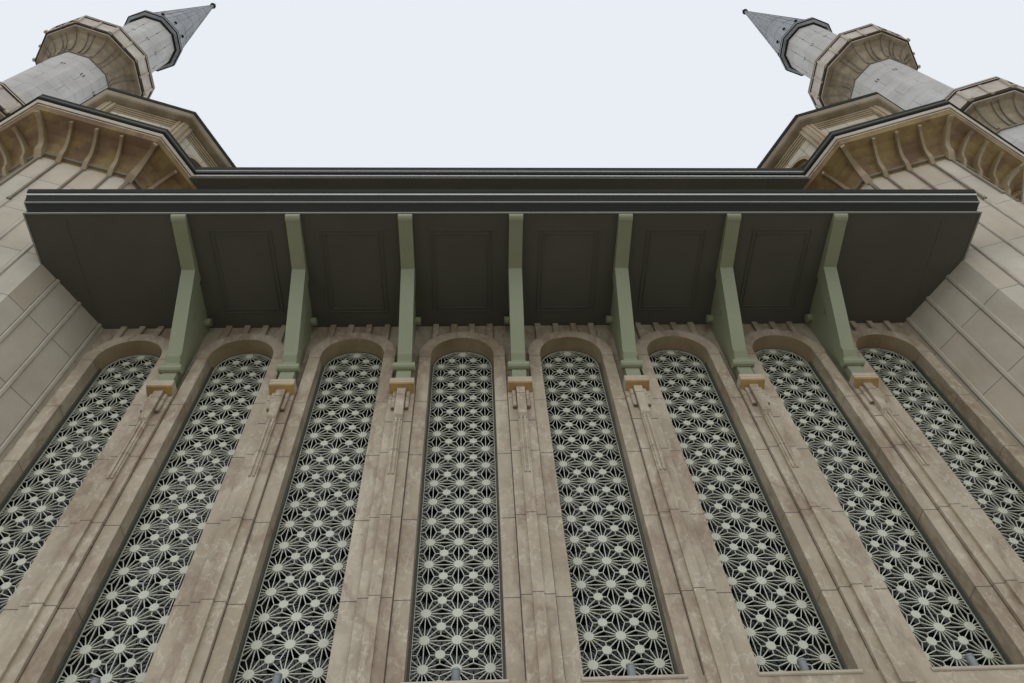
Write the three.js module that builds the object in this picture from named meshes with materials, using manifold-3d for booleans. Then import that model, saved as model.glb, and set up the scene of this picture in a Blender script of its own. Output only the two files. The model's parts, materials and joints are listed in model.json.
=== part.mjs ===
// Mosque building, a 1:2 scale model: a domed prayer hall with eight tall arched windows on
// each side, an octagonal tower at each corner, two low side wings and two slender minarets.
// Millimetres of the model, +X to the right of the front, +Y to the rear, +Z up.
import * as THREE from "three";
import { mergeVertices } from "three/addons/utils/BufferGeometryUtils.js";
import Module from "manifold-3d";

const wasm = await Module();
wasm.setup();

// Hall front, measured back from the front face of the stone window frames.
const BAY = 900; // spacing of the tall windows
const BAYS = 8;
const GAP = 0.4; // joint between neighbouring pieces
const WALL_Y = 57; // wall above the arches, behind the frames
const WALL_BACK_Y = 400;
const STRIP_Y = -25; // side strips of a pilaster
const RIB_Y = -47; // centre rib of a pilaster
const TONGUE_Y = -70;
const CORBEL_Y = -99;
const GLASS_Y = 139; // depth of the door and of the metal lattices
const PANE_Y = 160; // front windows, set behind their lattices
const WINDOW_HALF = 257;
const FRAME_WIDTH = 98; // stone frame round a window
const WINDOW_BAR = 26;
const SILL_Z = 3137;
const SPRING_Z = 6118;
const ARC_STEPS = { plain: 6, front: 14 }; // flats of an arch
const RIB_HALF = 32;
const CORBEL_HALF = 92;
const CORBEL_TOP_Z = 5646;
const CORBEL_BOTTOM_Z = 5546;
const TONGUE_END_Z = 5235;
const FLOOR_TOP_Z = 150;

// Entrance under the middle windows.
const DOOR_HALF = 560;
const DOOR_TOP_Z = 2150;
const PORTAL_WIDTH = 160;
const PORTAL_Y = -60;

// Canopy over the windows and its green brackets.
const SOFFIT_Z = 6659;
const CANOPY_TOP_Z = 6960;
const CANOPY_FRONT_Y = -1023;
const CANOPY_HALF = 3909;
const CANOPY_EDGE = [
  // how far out from the soffit's edge, how far up from the soffit
  [0, 0],
  [-11, 45],
  [42, 134],
  [50, 179],
  [63, 232],
  [74, 260],
  [80, CANOPY_TOP_Z - SOFFIT_Z],
];
const BRACKET_HALF = 56;
const WEB_HALF = 40;
const ROLL_HALF = 85;
const ROLL_RADIUS = 37;

// Octagonal corner towers.
const TOWER_X = 4619;
const TOWER_Y = 286;
const TOWER_TURN = THREE.MathUtils.degToRad(17); // the front face looks to the centre line
const TOWER_APOTHEM = 1035;
const TOWER_WALL = 190;
const TOWER_TOP_Z = 8572;
const CROWN_APOTHEM = 1493;
const CROWN_TOP_Z = 9054;
const CROWN_BAND = 145;
const DECK = 120;
const TIER_APOTHEM = 1070;
const TIER_WALL = 160;
const TIER_EAVE_Z = 10494;
const TIER_EAVE_APOTHEM = 1226;
const TIER_ARCH_HALF = 190;
const TIER_ARCH_SILL_Z = 9300;
const TIER_ARCH_SPRING_Z = 9800;
const TURRET_TOP_Z = 11500;

// Hall, square between the tower centres, so that every side repeats the front.
const HALL_HALF = TOWER_X + TOWER_Y;
const CORNICE_BOTTOM_Z = 8890;
const CORNICE_REACH = 546;
const DRUM_RADIUS = 4150;
const DRUM_WALL = 260;
const DRUM_TOP_Z = 10750;
const DRUM_WINDOWS = 16;
const DRUM_WINDOW_HALF = 230;
const DOME_RADIUS = 4060;
const DOME_WALL = 130;
const DOME_TOP_Z = 14850;
const ROUND = 48;
const FINIAL_HEIGHT = 1500;

// Low wings from the hall to the minarets.
const WING_OUTER_X = 9500;
const WING_FRONT_Y = 700;
const WING_TOP_Z = 2950;
const WING_WALL = 300;
const WING_ROOF = 220;
const WING_SILL_Z = 700;
const WING_SPRING_Z = 1950;

// Ten-sided minarets; radii are to the corners.
const MINARET_X = 9440;
const MINARET_Y = 1130;
const SIDES = 10;
const PEDESTAL_RADIUS = 1200;
const PEDESTAL_TOP_Z = 3700;
const PEDESTAL_WALL = 260;
const TAPER_TOP_Z = 4500;
const SHAFT_RADII = { lower: 790, middle: 720, upper: 652 };
const SHAFT_WALL = 140;
const BALCONIES = { lower: 15230, upper: 20590 }; // top of the parapet
const BALCONY_RADIUS = 1270;
const BALCONY_FOOT_RADIUS = 1168;
const PARAPET = 570;
const PARAPET_WALL = 70;
const BALCONY_COVE = 700;
const CAP_Z = 24090;
const CAP_RADIUS = 815;
const SPIRE_TOP_Z = 30590;

const stone = { color: 0x9c8f7c, roughness: 0.7, metalness: 0 };
const cladding = { color: 0xa5a198, roughness: 0.65, metalness: 0 };
const bronze = { color: 0x2e2d27, roughness: 0.55, metalness: 0.3 };
const sageMetal = { color: 0x6d7865, roughness: 0.5, metalness: 0.2 };
const lead = { color: 0x6f7375, roughness: 0.5, metalness: 0.6 };
const glass = { color: 0x1c2224, roughness: 0.1, metalness: 0 };
const gilt = { color: 0xc9a24a, roughness: 0.3, metalness: 1 };

const building = new THREE.Group();
building.position.y = -HALL_HALF;

/** Adds one named piece to the building. */
function place(name, solid, finish) {
  const mesh = new THREE.Mesh(geometryOf(solid), new THREE.MeshStandardMaterial(finish));
  mesh.name = name;
  building.add(mesh);
}

/** Volume inside a list of triangles, negative where they face inwards. */
function signedVolume(positions, triangles) {
  const corner = (i) => new THREE.Vector3().fromArray(positions, 3 * triangles[i]);
  let volume = 0;
  for (let i = 0; i < triangles.length; i += 3) {
    volume += corner(i).dot(corner(i + 1).cross(corner(i + 2))) / 6;
  }
  return volume;
}

/** A closed geometry as a solid that can be joined and cut, its faces turned outwards. */
function solidOf(geometry) {
  const bare = geometry.index ? geometry.toNonIndexed() : geometry.clone();
  bare.deleteAttribute("normal");
  bare.deleteAttribute("uv");
  const merged = mergeVertices(bare, 1e-3);
  const positions = new Float32Array(merged.attributes.position.array);
  const triangles = [];
  for (let i = 0; i < merged.index.count; i += 3) {
    const [a, b, c] = merged.index.array.slice(i, i + 3);
    if (a !== b && b !== c && c !== a) triangles.push(a, b, c);
  }
  if (signedVolume(positions, triangles) < 0) triangles.reverse();
  return new wasm.Manifold(
    new wasm.Mesh({
      numProp: 3,
      vertProperties: positions,
      triVerts: new Uint32Array(triangles),
    }),
  );
}

/** The vertices and triangles of a solid as a geometry. */
function geometryOf(solid) {
  const mesh = solid.getMesh();
  const geometry = new THREE.BufferGeometry();
  geometry.setAttribute("position", new THREE.BufferAttribute(mesh.vertProperties, 3));
  geometry.setIndex(new THREE.BufferAttribute(mesh.triVerts, 1));
  geometry.computeVertexNormals();
  return geometry;
}

/** Joins a list of solids into one. */
function join(solids) {
  return solids.reduce((whole, piece) => whole.add(piece));
}

/** A box between two limits on each axis. */
function box([x0, x1], [y0, y1], [z0, z1]) {
  const geometry = new THREE.BoxGeometry(x1 - x0, y1 - y0, z1 - z0);
  geometry.translate((x0 + x1) / 2, (y0 + y1) / 2, (z0 + z1) / 2);
  return solidOf(geometry);
}

/** A closed outline from a list of points. */
function polygon(points) {
  return new THREE.Shape(points.map(([u, v]) => new THREE.Vector2(u, v)));
}

/** Rolls an outline out to a given depth. */
function extruded(shape, depth, curveSegments = ARC_STEPS.plain) {
  return new THREE.ExtrudeGeometry(shape, { depth, bevelEnabled: false, curveSegments });
}

/** An outline (x, z) seen from the front, made solid from y0 back to y1. */
function frontPlate(shape, y0, y1, arcSteps) {
  const geometry = extruded(shape, y1 - y0, arcSteps);
  geometry.rotateX(Math.PI / 2);
  geometry.translate(0, y1, 0);
  return solidOf(geometry);
}

/** An outline (y, z) seen from the side, made solid from x0 to x1. */
function sidePlate(shape, x0, x1) {
  const geometry = extruded(shape, x1 - x0);
  geometry.rotateX(Math.PI / 2);
  geometry.rotateZ(Math.PI / 2);
  geometry.translate(x0, 0, 0);
  return solidOf(geometry);
}

/** An outline (x, y) seen from above, made solid from z0 up to z1. */
function floorPlate(shape, z0, z1) {
  const geometry = extruded(shape, z1 - z0);
  geometry.translate(0, 0, z0);
  return solidOf(geometry);
}

/** An upright arched outline about x = middle. */
function archShape(middle, half, bottom, spring) {
  const shape = new THREE.Shape();
  shape.moveTo(middle - half, bottom);
  shape.lineTo(middle + half, bottom);
  shape.lineTo(middle + half, spring);
  shape.absarc(middle, spring, half, 0, Math.PI, false);
  return shape;
}

/** A profile (radius to the corners, z) turned round the z axis, one face to the front. */
function turned(profile, sides) {
  const geometry = new THREE.LatheGeometry(
    profile.map(([r, z]) => new THREE.Vector2(r, z)),
    sides,
  );
  geometry.rotateX(Math.PI / 2);
  geometry.rotateZ(Math.PI / sides);
  return solidOf(geometry);
}

/** The same profile with its radii taken to the middle of the faces. */
function turnedFlats(profile, sides) {
  const stretch = 1 / Math.cos(Math.PI / sides);
  return turned(profile.map(([r, z]) => [r * stretch, z]), sides);
}

/** Points of a hollow quarter curve from a wall at (r0, z0) out to an edge at (r1, z1). */
function cove([r0, z0], [r1, z1], steps) {
  return Array.from({ length: steps + 1 }, (_, i) => {
    const angle = ((i / steps) * Math.PI) / 2;
    return [r1 - (r1 - r0) * Math.cos(angle), z0 + (z1 - z0) * Math.sin(angle)];
  });
}

const windowMiddles = Array.from({ length: BAYS }, (_, k) => (k - (BAYS - 1) / 2) * BAY);
const bracketMiddles = windowMiddles.slice(1).map((x) => x - BAY / 2);

const towers = ["front", "rear"].flatMap((row) =>
  [-1, 1].map((side) => ({
    name: `${row}_${side < 0 ? "left" : "right"}`,
    x: side * TOWER_X,
    y: row === "rear" ? 2 * HALL_HALF - TOWER_Y : TOWER_Y,
    degrees: THREE.MathUtils.radToDeg(TOWER_TURN) * side * (row === "rear" ? 1 : -1),
  })),
);

/** Moves an octagonal solid from the z axis to a tower, turned as the tower is. */
function atTower(solid, tower) {
  return solid.rotate([0, 0, tower.degrees]).translate([tower.x, tower.y, 0]);
}

/** Outline of a crown's flared side, grown by a joint. */
function crownSide(joint) {
  return [
    [TOWER_APOTHEM + joint, TOWER_TOP_Z - joint],
    ...cove(
      [TOWER_APOTHEM + 20 + joint, TOWER_TOP_Z + 60],
      [CROWN_APOTHEM - 88 + joint, CROWN_TOP_Z - CROWN_BAND - 47 - joint],
      5,
    ),
    [CROWN_APOTHEM - 55 + joint, CROWN_TOP_Z - CROWN_BAND - joint],
    [CROWN_APOTHEM + joint, CROWN_TOP_Z - CROWN_BAND + 40 - joint],
    [CROWN_APOTHEM + joint, CROWN_TOP_Z + joint],
  ];
}

const towerSpace = turnedFlats(
  [
    [0, -10],
    [TOWER_APOTHEM + GAP, -10],
    ...crownSide(GAP),
    [0, CROWN_TOP_Z + GAP],
  ],
  8,
);
const towerSpaces = join(towers.map((tower) => atTower(towerSpace, tower)));

/** Turns a piece drawn at the hall front to another side, cut round the towers. */
function toSide(solid, quarterTurns) {
  return solid
    .translate([0, -HALL_HALF, 0])
    .rotate([0, 0, 90 * quarterTurns])
    .translate([0, HALL_HALF, 0])
    .subtract(towerSpaces);
}

/** Tower wall, an octagonal tube up to the crown. */
function towerWall() {
  const inner = TOWER_APOTHEM - TOWER_WALL;
  return turnedFlats(
    [
      [inner, 0],
      [TOWER_APOTHEM, 0],
      [TOWER_APOTHEM, TOWER_TOP_Z - GAP],
      [inner, TOWER_TOP_Z - GAP],
      [inner, 0],
    ],
    8,
  );
}

/** Flared crown with the deck that the upper tier stands on. */
function towerCrown() {
  const inner = TOWER_APOTHEM - TOWER_WALL;
  return turnedFlats(
    [
      [0, CROWN_TOP_Z - DECK],
      [inner, CROWN_TOP_Z - DECK],
      [inner, TOWER_TOP_Z],
      ...crownSide(0),
      [0, CROWN_TOP_Z],
    ],
    8,
  );
}

/** Upper tier: an open arch in each face, moulded eaves and a low lead roof. */
function towerTier() {
  const foot = CROWN_TOP_Z + GAP;
  const inner = TIER_APOTHEM - TIER_WALL;
  const ceiling = TIER_EAVE_Z - 260;
  const body = turnedFlats(
    [
      [inner, foot],
      [TIER_APOTHEM, foot],
      [TIER_APOTHEM, TIER_EAVE_Z - 120],
      [TIER_EAVE_APOTHEM - 60, TIER_EAVE_Z - 100],
      [TIER_EAVE_APOTHEM, TIER_EAVE_Z - 60],
      [TIER_EAVE_APOTHEM, TIER_EAVE_Z],
      [TIER_APOTHEM - 60, TIER_EAVE_Z + 120],
      [700, TURRET_TOP_Z - 260],
      [330, TURRET_TOP_Z - 40],
      [0, TURRET_TOP_Z],
      [0, ceiling],
      [inner, ceiling],
      [inner, foot],
    ],
    8,
  );
  const arch = frontPlate(
    archShape(0, TIER_ARCH_HALF, TIER_ARCH_SILL_Z, TIER_ARCH_SPRING_Z),
    -TIER_APOTHEM - 200,
    TIER_APOTHEM + 200,
  );
  const arches = [0, 45, 90, 135].map((turn) => arch.rotate([0, 0, turn]));
  return body.subtract(join(arches));
}

/** Moves a ten-sided solid from the z axis to a minaret and turns a corner to the front. */
function atMinaret(solid, side) {
  return solid.rotate([0, 0, 180 / SIDES]).translate([side * MINARET_X, MINARET_Y, 0]);
}

const minaretSpace = turned(
  [
    [0, -10],
    [PEDESTAL_RADIUS + GAP, -10],
    [PEDESTAL_RADIUS + GAP, PEDESTAL_TOP_Z],
    [0, PEDESTAL_TOP_Z],
  ],
  SIDES,
);
const minaretSpaces = join([-1, 1].map((side) => atMinaret(minaretSpace, side)));

/** Hollow pedestal of a minaret, drawn in to the shaft. */
function minaretPedestal() {
  const ring = SHAFT_RADII.lower;
  return turned(
    [
      [PEDESTAL_RADIUS - PEDESTAL_WALL, 0],
      [PEDESTAL_RADIUS, 0],
      [PEDESTAL_RADIUS, PEDESTAL_TOP_Z],
      [ring + 60, TAPER_TOP_Z],
      [ring - SHAFT_WALL, TAPER_TOP_Z],
      [PEDESTAL_RADIUS - PEDESTAL_WALL, PEDESTAL_TOP_Z - 200],
      [PEDESTAL_RADIUS - PEDESTAL_WALL, 0],
    ],
    SIDES,
  );
}

/** Hollow shaft, stepped in above each balcony. */
function minaretShaft() {
  const foot = TAPER_TOP_Z + GAP;
  const steps = [
    [SHAFT_RADII.lower, BALCONIES.lower],
    [SHAFT_RADII.middle, BALCONIES.upper],
  ];
  const outside = steps.flatMap(([radius, rim], i) => {
    const ledge = rim - PARAPET - BALCONY_COVE;
    const next = i === 0 ? SHAFT_RADII.middle : SHAFT_RADII.upper;
    return [[radius, ledge], [next, ledge]];
  });
  const bore = SHAFT_RADII.upper - SHAFT_WALL;
  return turned(
    [
      [bore, foot],
      [SHAFT_RADII.lower, foot],
      ...outside,
      [SHAFT_RADII.upper, CAP_Z - 60 - GAP],
      [bore, CAP_Z - 60 - GAP],
      [bore, foot],
    ],
    SIDES,
  );
}

/** Balcony ring on the ledge of the shaft: coved underside, floor and parapet. */
function balcony(rim, below, within) {
  const floor = rim - PARAPET;
  const ledge = floor - BALCONY_COVE + GAP;
  const bore = within + GAP;
  return turned(
    [
      [bore, ledge],
      ...cove([below, ledge], [BALCONY_FOOT_RADIUS, floor - 80], 5),
      [BALCONY_FOOT_RADIUS + 30, floor - 40],
      [BALCONY_RADIUS - 30, rim - 110],
      [BALCONY_RADIUS, rim - 90],
      [BALCONY_RADIUS, rim],
      [BALCONY_RADIUS - PARAPET_WALL - 40, rim],
      [BALCONY_RADIUS - PARAPET_WALL - 60, floor],
      [bore, floor],
      [bore, ledge],
    ],
    SIDES,
  );
}

/** Spire: an eaves ring, a seamed lead cone open below, and its finial. */
function spire() {
  const cone = 690;
  const bore = SHAFT_RADII.upper - SHAFT_WALL;
  const tip = SPIRE_TOP_Z - 560;
  return turned(
    [
      [bore, CAP_Z - 60],
      [SHAFT_RADII.upper + 20, CAP_Z - 60],
      [CAP_RADIUS - 40, CAP_Z - 20],
      [CAP_RADIUS, CAP_Z + 20],
      [CAP_RADIUS, CAP_Z + 110],
      [cone + 40, CAP_Z + 150],
      [cone, CAP_Z + 330],
      [45, tip],
      [30, tip + 60],
      [90, tip + 140],
      [90, tip + 200],
      [30, tip + 280],
      [0, SPIRE_TOP_Z],
      [0, tip - 400],
      [cone - 90, CAP_Z + 330],
      [bore, CAP_Z - 60],
    ],
    SIDES,
  );
}

/** Stone frame round one window, from the plinth or the wing roof up. */
function windowFrame(x, foot, arcSteps) {
  const outline = archShape(x, WINDOW_HALF + FRAME_WIDTH, foot, SPRING_Z);
  return frontPlate(outline, 0, WALL_Y + 1, arcSteps);
}

/** Pilaster between two windows, with its tongue and corbel. */
function pilaster(x, foot) {
  const back = WALL_Y + 1;
  const half = BAY / 2 - WINDOW_HALF - FRAME_WIDTH;
  const top = CORBEL_BOTTOM_Z + 10;
  const strips = box([x - half, x + half], [STRIP_Y, back], [foot, top]);
  const rib = box([x - RIB_HALF, x + RIB_HALF], [RIB_Y, back], [foot, top]);
  const tongue = sidePlate(
    polygon([
      [back, TONGUE_END_Z - 25],
      [RIB_Y, TONGUE_END_Z - 25],
      [TONGUE_Y, TONGUE_END_Z],
      [TONGUE_Y, top],
      [back, top],
    ]),
    x - RIB_HALF,
    x + RIB_HALF,
  );
  const corbel = sidePlate(
    polygon([
      [back, CORBEL_BOTTOM_Z],
      [STRIP_Y - 5, CORBEL_BOTTOM_Z],
      [CORBEL_Y + 5, CORBEL_TOP_Z - 75],
      [CORBEL_Y, CORBEL_TOP_Z - 65],
      [CORBEL_Y, CORBEL_TOP_Z],
      [back, CORBEL_TOP_Z],
    ]),
    x - CORBEL_HALF,
    x + CORBEL_HALF,
  );
  return join([strips, rib, tongue, corbel]);
}

/** A hall wall with its tall openings, drawn at the front; its relief starts at foot. */
function hallWall(foot, arcSteps) {
  const wall = box(
    [-TOWER_X, TOWER_X],
    [WALL_Y, WALL_BACK_Y],
    [FLOOR_TOP_Z + GAP, CORNICE_BOTTOM_Z - GAP],
  );
  const openings = windowMiddles.map((x) =>
    frontPlate(archShape(x, WINDOW_HALF, SILL_Z, SPRING_Z), -10, WALL_BACK_Y + 10, arcSteps),
  );
  const base = box([-TOWER_X, TOWER_X], [0, WALL_Y + 1], [foot - 200, foot + 1]);
  const frames = windowMiddles.map((x) => windowFrame(x, foot, arcSteps));
  const pilasters = bracketMiddles.map((x) => pilaster(x, foot));
  const whole = join([wall, base, ...frames, ...pilasters]);
  return whole.subtract(join(openings));
}

/** The front wall: a hall wall with the entrance portal. */
function frontWall() {
  const portal = box(
    [-DOOR_HALF - PORTAL_WIDTH, DOOR_HALF + PORTAL_WIDTH],
    [PORTAL_Y, WALL_Y + 1],
    [FLOOR_TOP_Z + GAP, DOOR_TOP_Z + PORTAL_WIDTH],
  );
  const doorway = box(
    [-DOOR_HALF, DOOR_HALF],
    [PORTAL_Y - 10, WALL_BACK_Y + 10],
    [FLOOR_TOP_Z - 10, DOOR_TOP_Z],
  );
  const wall = hallWall(FLOOR_TOP_Z + GAP + 200, ARC_STEPS.front);
  return wall.add(portal).subtract(doorway);
}

/** Pair of entrance leaves, shut, with a meeting stile down the middle. */
function entranceDoor() {
  const leaves = box(
    [-DOOR_HALF + GAP, DOOR_HALF - GAP],
    [GLASS_Y, GLASS_Y + 60],
    [FLOOR_TOP_Z + GAP, DOOR_TOP_Z - GAP],
  );
  const panels = [-1, 1].flatMap((side) =>
    [0, 1].map((row) => {
      const foot = FLOOR_TOP_Z + 150 + row * 950;
      return box(
        [(side * DOOR_HALF) / 2 - 190, (side * DOOR_HALF) / 2 + 190],
        [GLASS_Y - 10, GLASS_Y + 20],
        [foot, foot + 800],
      );
    }),
  );
  return leaves.subtract(join(panels));
}

/** Arched window of the front: a rim with the pane behind it. */
function frontWindow(x) {
  const half = WINDOW_HALF - GAP;
  const pane = archShape(x, half, SILL_Z + GAP, SPRING_Z);
  const opening = archShape(x, half - WINDOW_BAR, SILL_Z + WINDOW_BAR, SPRING_Z);
  return frontPlate(pane, PANE_Y, PANE_Y + 45, ARC_STEPS.front).subtract(
    frontPlate(opening, PANE_Y - 10, PANE_Y + 25, ARC_STEPS.front),
  );
}

/** One sheet of glass behind all the windows of a hall wall, drawn at the front. */
function hallGlass() {
  const half = (BAYS / 2) * BAY;
  const y = WALL_BACK_Y + GAP;
  const top = SPRING_Z + WINDOW_HALF + 80;
  return box([-half, half], [y, y + 30], [SILL_Z - 80, top]);
}

/** Roof slab of the hall with the moulded cornice on all four sides. */
function hallRoof() {
  const wall = HALL_HALF - WALL_Y;
  const edge = HALL_HALF + CORNICE_REACH;
  const slab = turnedFlats(
    [
      [0, CORNICE_BOTTOM_Z],
      [wall, CORNICE_BOTTOM_Z],
      [edge - 60, CORNICE_BOTTOM_Z],
      [edge - 45, CROWN_TOP_Z - 110],
      [edge, CROWN_TOP_Z - 50],
      [edge, CROWN_TOP_Z],
      [0, CROWN_TOP_Z],
    ],
    4,
  ).translate([0, HALL_HALF, 0]);
  const eye = turned(
    [
      [0, CORNICE_BOTTOM_Z - 10],
      [DRUM_RADIUS - DRUM_WALL, CORNICE_BOTTOM_Z - 10],
      [DRUM_RADIUS - DRUM_WALL, CROWN_TOP_Z + 10],
      [0, CROWN_TOP_Z + 10],
    ],
    ROUND,
  ).translate([0, HALL_HALF, 0]);
  return slab.subtract(eye).subtract(towerSpaces);
}

/** Moves a round solid from the z axis to the middle of the hall. */
function atMiddle(solid) {
  return solid.translate([0, HALL_HALF, 0]);
}

/** Drum under the dome, with arched windows all round. */
function drum() {
  const foot = CROWN_TOP_Z + GAP;
  const inner = DRUM_RADIUS - DRUM_WALL;
  const ring = turned(
    [
      [inner, foot],
      [DRUM_RADIUS, foot],
      [DRUM_RADIUS, DRUM_TOP_Z - 260],
      [DRUM_RADIUS + 150, DRUM_TOP_Z - 130],
      [DRUM_RADIUS + 150, DRUM_TOP_Z - GAP],
      [inner, DRUM_TOP_Z - GAP],
      [inner, foot],
    ],
    ROUND,
  );
  const window = frontPlate(
    archShape(0, DRUM_WINDOW_HALF, foot + 250, DRUM_TOP_Z - 700),
    -DRUM_RADIUS - 50,
    -inner + 250,
  );
  const windows = Array.from({ length: DRUM_WINDOWS }, (_, k) =>
    window.rotate([0, 0, ((k + 0.5) * 360) / DRUM_WINDOWS]),
  );
  return atMiddle(ring.subtract(join(windows)));
}

/** One ring of glass inside the windows of the drum. */
function drumGlass() {
  const outer = DRUM_RADIUS - DRUM_WALL - GAP;
  const foot = CROWN_TOP_Z + 100;
  const top = DRUM_TOP_Z - 300;
  return atMiddle(
    turned([[outer - 40, foot], [outer, foot], [outer, top], [outer - 40, top], [outer - 40, foot]], ROUND),
  );
}

/** Hollow dome on the drum. */
function dome() {
  const steps = 10;
  const rise = DOME_TOP_Z - DRUM_TOP_Z;
  const shell = (radius, height) =>
    Array.from({ length: steps + 1 }, (_, i) => {
      const angle = ((i / steps) * Math.PI) / 2;
      return [radius * Math.cos(angle), DRUM_TOP_Z + height * Math.sin(angle)];
    });
  const outside = shell(DOME_RADIUS, rise);
  const inside = shell(DOME_RADIUS - DOME_WALL, rise - DOME_WALL).reverse();
  outside[steps][0] = 0;
  inside[0][0] = 0;
  return atMiddle(turned([...outside, ...inside, outside[0]], ROUND));
}

/** Gilt finial on the dome. */
function domeFinial() {
  const foot = DOME_TOP_Z + GAP;
  return atMiddle(
    turned(
      [
        [0, foot],
        [260, foot],
        [200, foot + 120],
        [70, foot + 260],
        [190, foot + 420],
        [190, foot + 520],
        [60, foot + 660],
        [130, foot + 790],
        [130, foot + 850],
        [40, foot + 960],
        [30, foot + FINIAL_HEIGHT - 120],
        [0, foot + FINIAL_HEIGHT],
      ],
      12,
    ),
  );
}

/** One layer of the canopy between two points of its edge, its back upright. */
function canopyLayer([reach0, rise0], [reach1, rise1]) {
  const geometry = new THREE.BoxGeometry(2, 2, 2);
  const corners = geometry.attributes.position;
  for (let i = 0; i < corners.count; i += 1) {
    const [reach, rise] = corners.getZ(i) < 0 ? [reach0, rise0] : [reach1, rise1];
    const front = corners.getY(i) < 0 ? CANOPY_FRONT_Y - reach : WALL_Y - GAP;
    corners.setXYZ(i, corners.getX(i) * (CANOPY_HALF + reach), front, SOFFIT_Z + rise);
  }
  return solidOf(geometry);
}

/** Canopy over the windows: a flat soffit and a moulded edge, cut round the towers. */
function canopy() {
  const layers = CANOPY_EDGE.slice(1).map((point, i) => canopyLayer(CANOPY_EDGE[i], point));
  return join(layers).subtract(towerSpaces);
}

/** Bracket from a corbel up to the canopy: a kinked arm, a web and two rolls. */
function bracket(x) {
  const top = SOFFIT_Z - GAP;
  const wall = WALL_Y - GAP;
  const foot = CORBEL_TOP_Z + GAP;
  const arm = sidePlate(
    polygon([
      [-1006, top],
      [-1006, top - 30],
      [-981, top - 45],
      [-552, top - 76],
      [-135, 5962],
      [-135, 5921],
      [-95, 5885],
      [-95, 5834],
      [-62, 5834],
      [-62, foot],
      [-10, foot],
      [-10, 5990],
      [-420, top - 20],
      [-420, top],
    ]),
    x - BRACKET_HALF,
    x + BRACKET_HALF,
  );
  const web = polygon([
    [-500, top],
    [-440, top - 60],
    [-100, 6000],
    [-30, foot],
    [wall, foot],
    [wall, top],
  ]);
  const eye = polygon([[-297, 6434], [-180, 6254], [-180, 6412]]);
  const rolls = [[-72, 5834], [-34, SOFFIT_Z - ROLL_RADIUS - 20]].map(([y, z]) => {
    const roll = new THREE.CylinderGeometry(ROLL_RADIUS, ROLL_RADIUS, 2 * ROLL_HALF, 12);
    roll.rotateZ(Math.PI / 2);
    roll.translate(x, y, z);
    return solidOf(roll);
  });
  const plate = sidePlate(web, x - WEB_HALF, x + WEB_HALF);
  return join([arm, plate, ...rolls]).subtract(sidePlate(eye, x - ROLL_HALF, x + ROLL_HALF));
}

const wingInner = {
  x: WING_OUTER_X - WING_WALL,
  front: WING_FRONT_Y + WING_WALL,
  rear: 2 * HALL_HALF - WING_FRONT_Y - WING_WALL,
};
const wingRear = 2 * HALL_HALF - WING_FRONT_Y;
const wingSideWindows = Array.from({ length: 6 }, (_, k) => HALL_HALF + (k - 1.5) * BAY);
const wingEndWindows = [6190, 6990, 7790];

/** A low wing, open to the hall wall and closed by its own walls and roof. */
function wing(side) {
  const hallSide = HALL_HALF - WALL_Y + GAP;
  const outside = box(
    [hallSide, WING_OUTER_X],
    [WING_FRONT_Y, wingRear],
    [FLOOR_TOP_Z + GAP, WING_TOP_Z],
  );
  const inside = box(
    [hallSide - 10, wingInner.x],
    [wingInner.front, wingInner.rear],
    [FLOOR_TOP_Z - 10, WING_TOP_Z - WING_ROOF],
  );
  const endOpening = (x) =>
    frontPlate(archShape(x, WINDOW_HALF, WING_SILL_Z, WING_SPRING_Z), WING_FRONT_Y - 10, wingRear + 10);
  const sideOpening = (y) =>
    sidePlate(
      archShape(y, WINDOW_HALF, WING_SILL_Z, WING_SPRING_Z),
      wingInner.x - 10,
      WING_OUTER_X + 10,
    );
  const openings = [...wingEndWindows.map(endOpening), ...wingSideWindows.map(sideOpening)];
  const right = outside.subtract(inside).subtract(join(openings));
  const placed = side > 0 ? right : right.mirror([1, 0, 0]);
  return placed.subtract(towerSpaces).subtract(minaretSpaces);
}

/** One folded sheet of glass inside the windows of a wing, clear of the minaret. */
function wingGlass(side) {
  const path = (inset) => [
    [HALL_HALF + 900, wingInner.front + inset],
    [8100 - inset, wingInner.front + inset],
    [8100 - inset, 1500 + inset],
    [wingInner.x - inset, 2600 + inset],
    [wingInner.x - inset, wingInner.rear - inset],
    [HALL_HALF + 900, wingInner.rear - inset],
  ];
  const outline = polygon([...path(GAP), ...path(30).reverse()].map(([x, y]) => [side * x, y]));
  return floorPlate(outline, WING_SILL_Z - 80, WING_SPRING_Z + WINDOW_HALF + 80);
}

const floorOutside = [
  box([-HALL_HALF, HALL_HALF], [0, 2 * HALL_HALF], [0, FLOOR_TOP_Z]),
  box([-WING_OUTER_X, WING_OUTER_X], [WING_FRONT_Y, wingRear], [0, FLOOR_TOP_Z]),
];
place(
  "floor_slab",
  join(floorOutside).subtract(towerSpaces).subtract(minaretSpaces),
  stone,
);

place("front_wall", toSide(frontWall(), 0), stone);
place("rear_wall", toSide(hallWall(FLOOR_TOP_Z + GAP + 200), 2), stone);
place("right_wall", toSide(hallWall(WING_TOP_Z + 200), 1), stone);
place("left_wall", toSide(hallWall(WING_TOP_Z + 200), 3), stone);
windowMiddles.forEach((x, k) => place(`front_window_${k + 1}`, frontWindow(x), glass));
place("rear_windows", toSide(hallGlass(), 2), glass);
place("right_windows", toSide(hallGlass(), 1), glass);
place("left_windows", toSide(hallGlass(), 3), glass);
place("entrance_door", entranceDoor(), bronze);
place("canopy", canopy(), bronze);
bracketMiddles.forEach((x, k) => place(`bracket_${k + 1}`, bracket(x), sageMetal));
place("hall_roof", hallRoof(), bronze);
place("drum", drum(), cladding);
place("drum_windows", drumGlass(), glass);
place("dome", dome(), lead);
place("dome_finial", domeFinial(), gilt);

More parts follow.
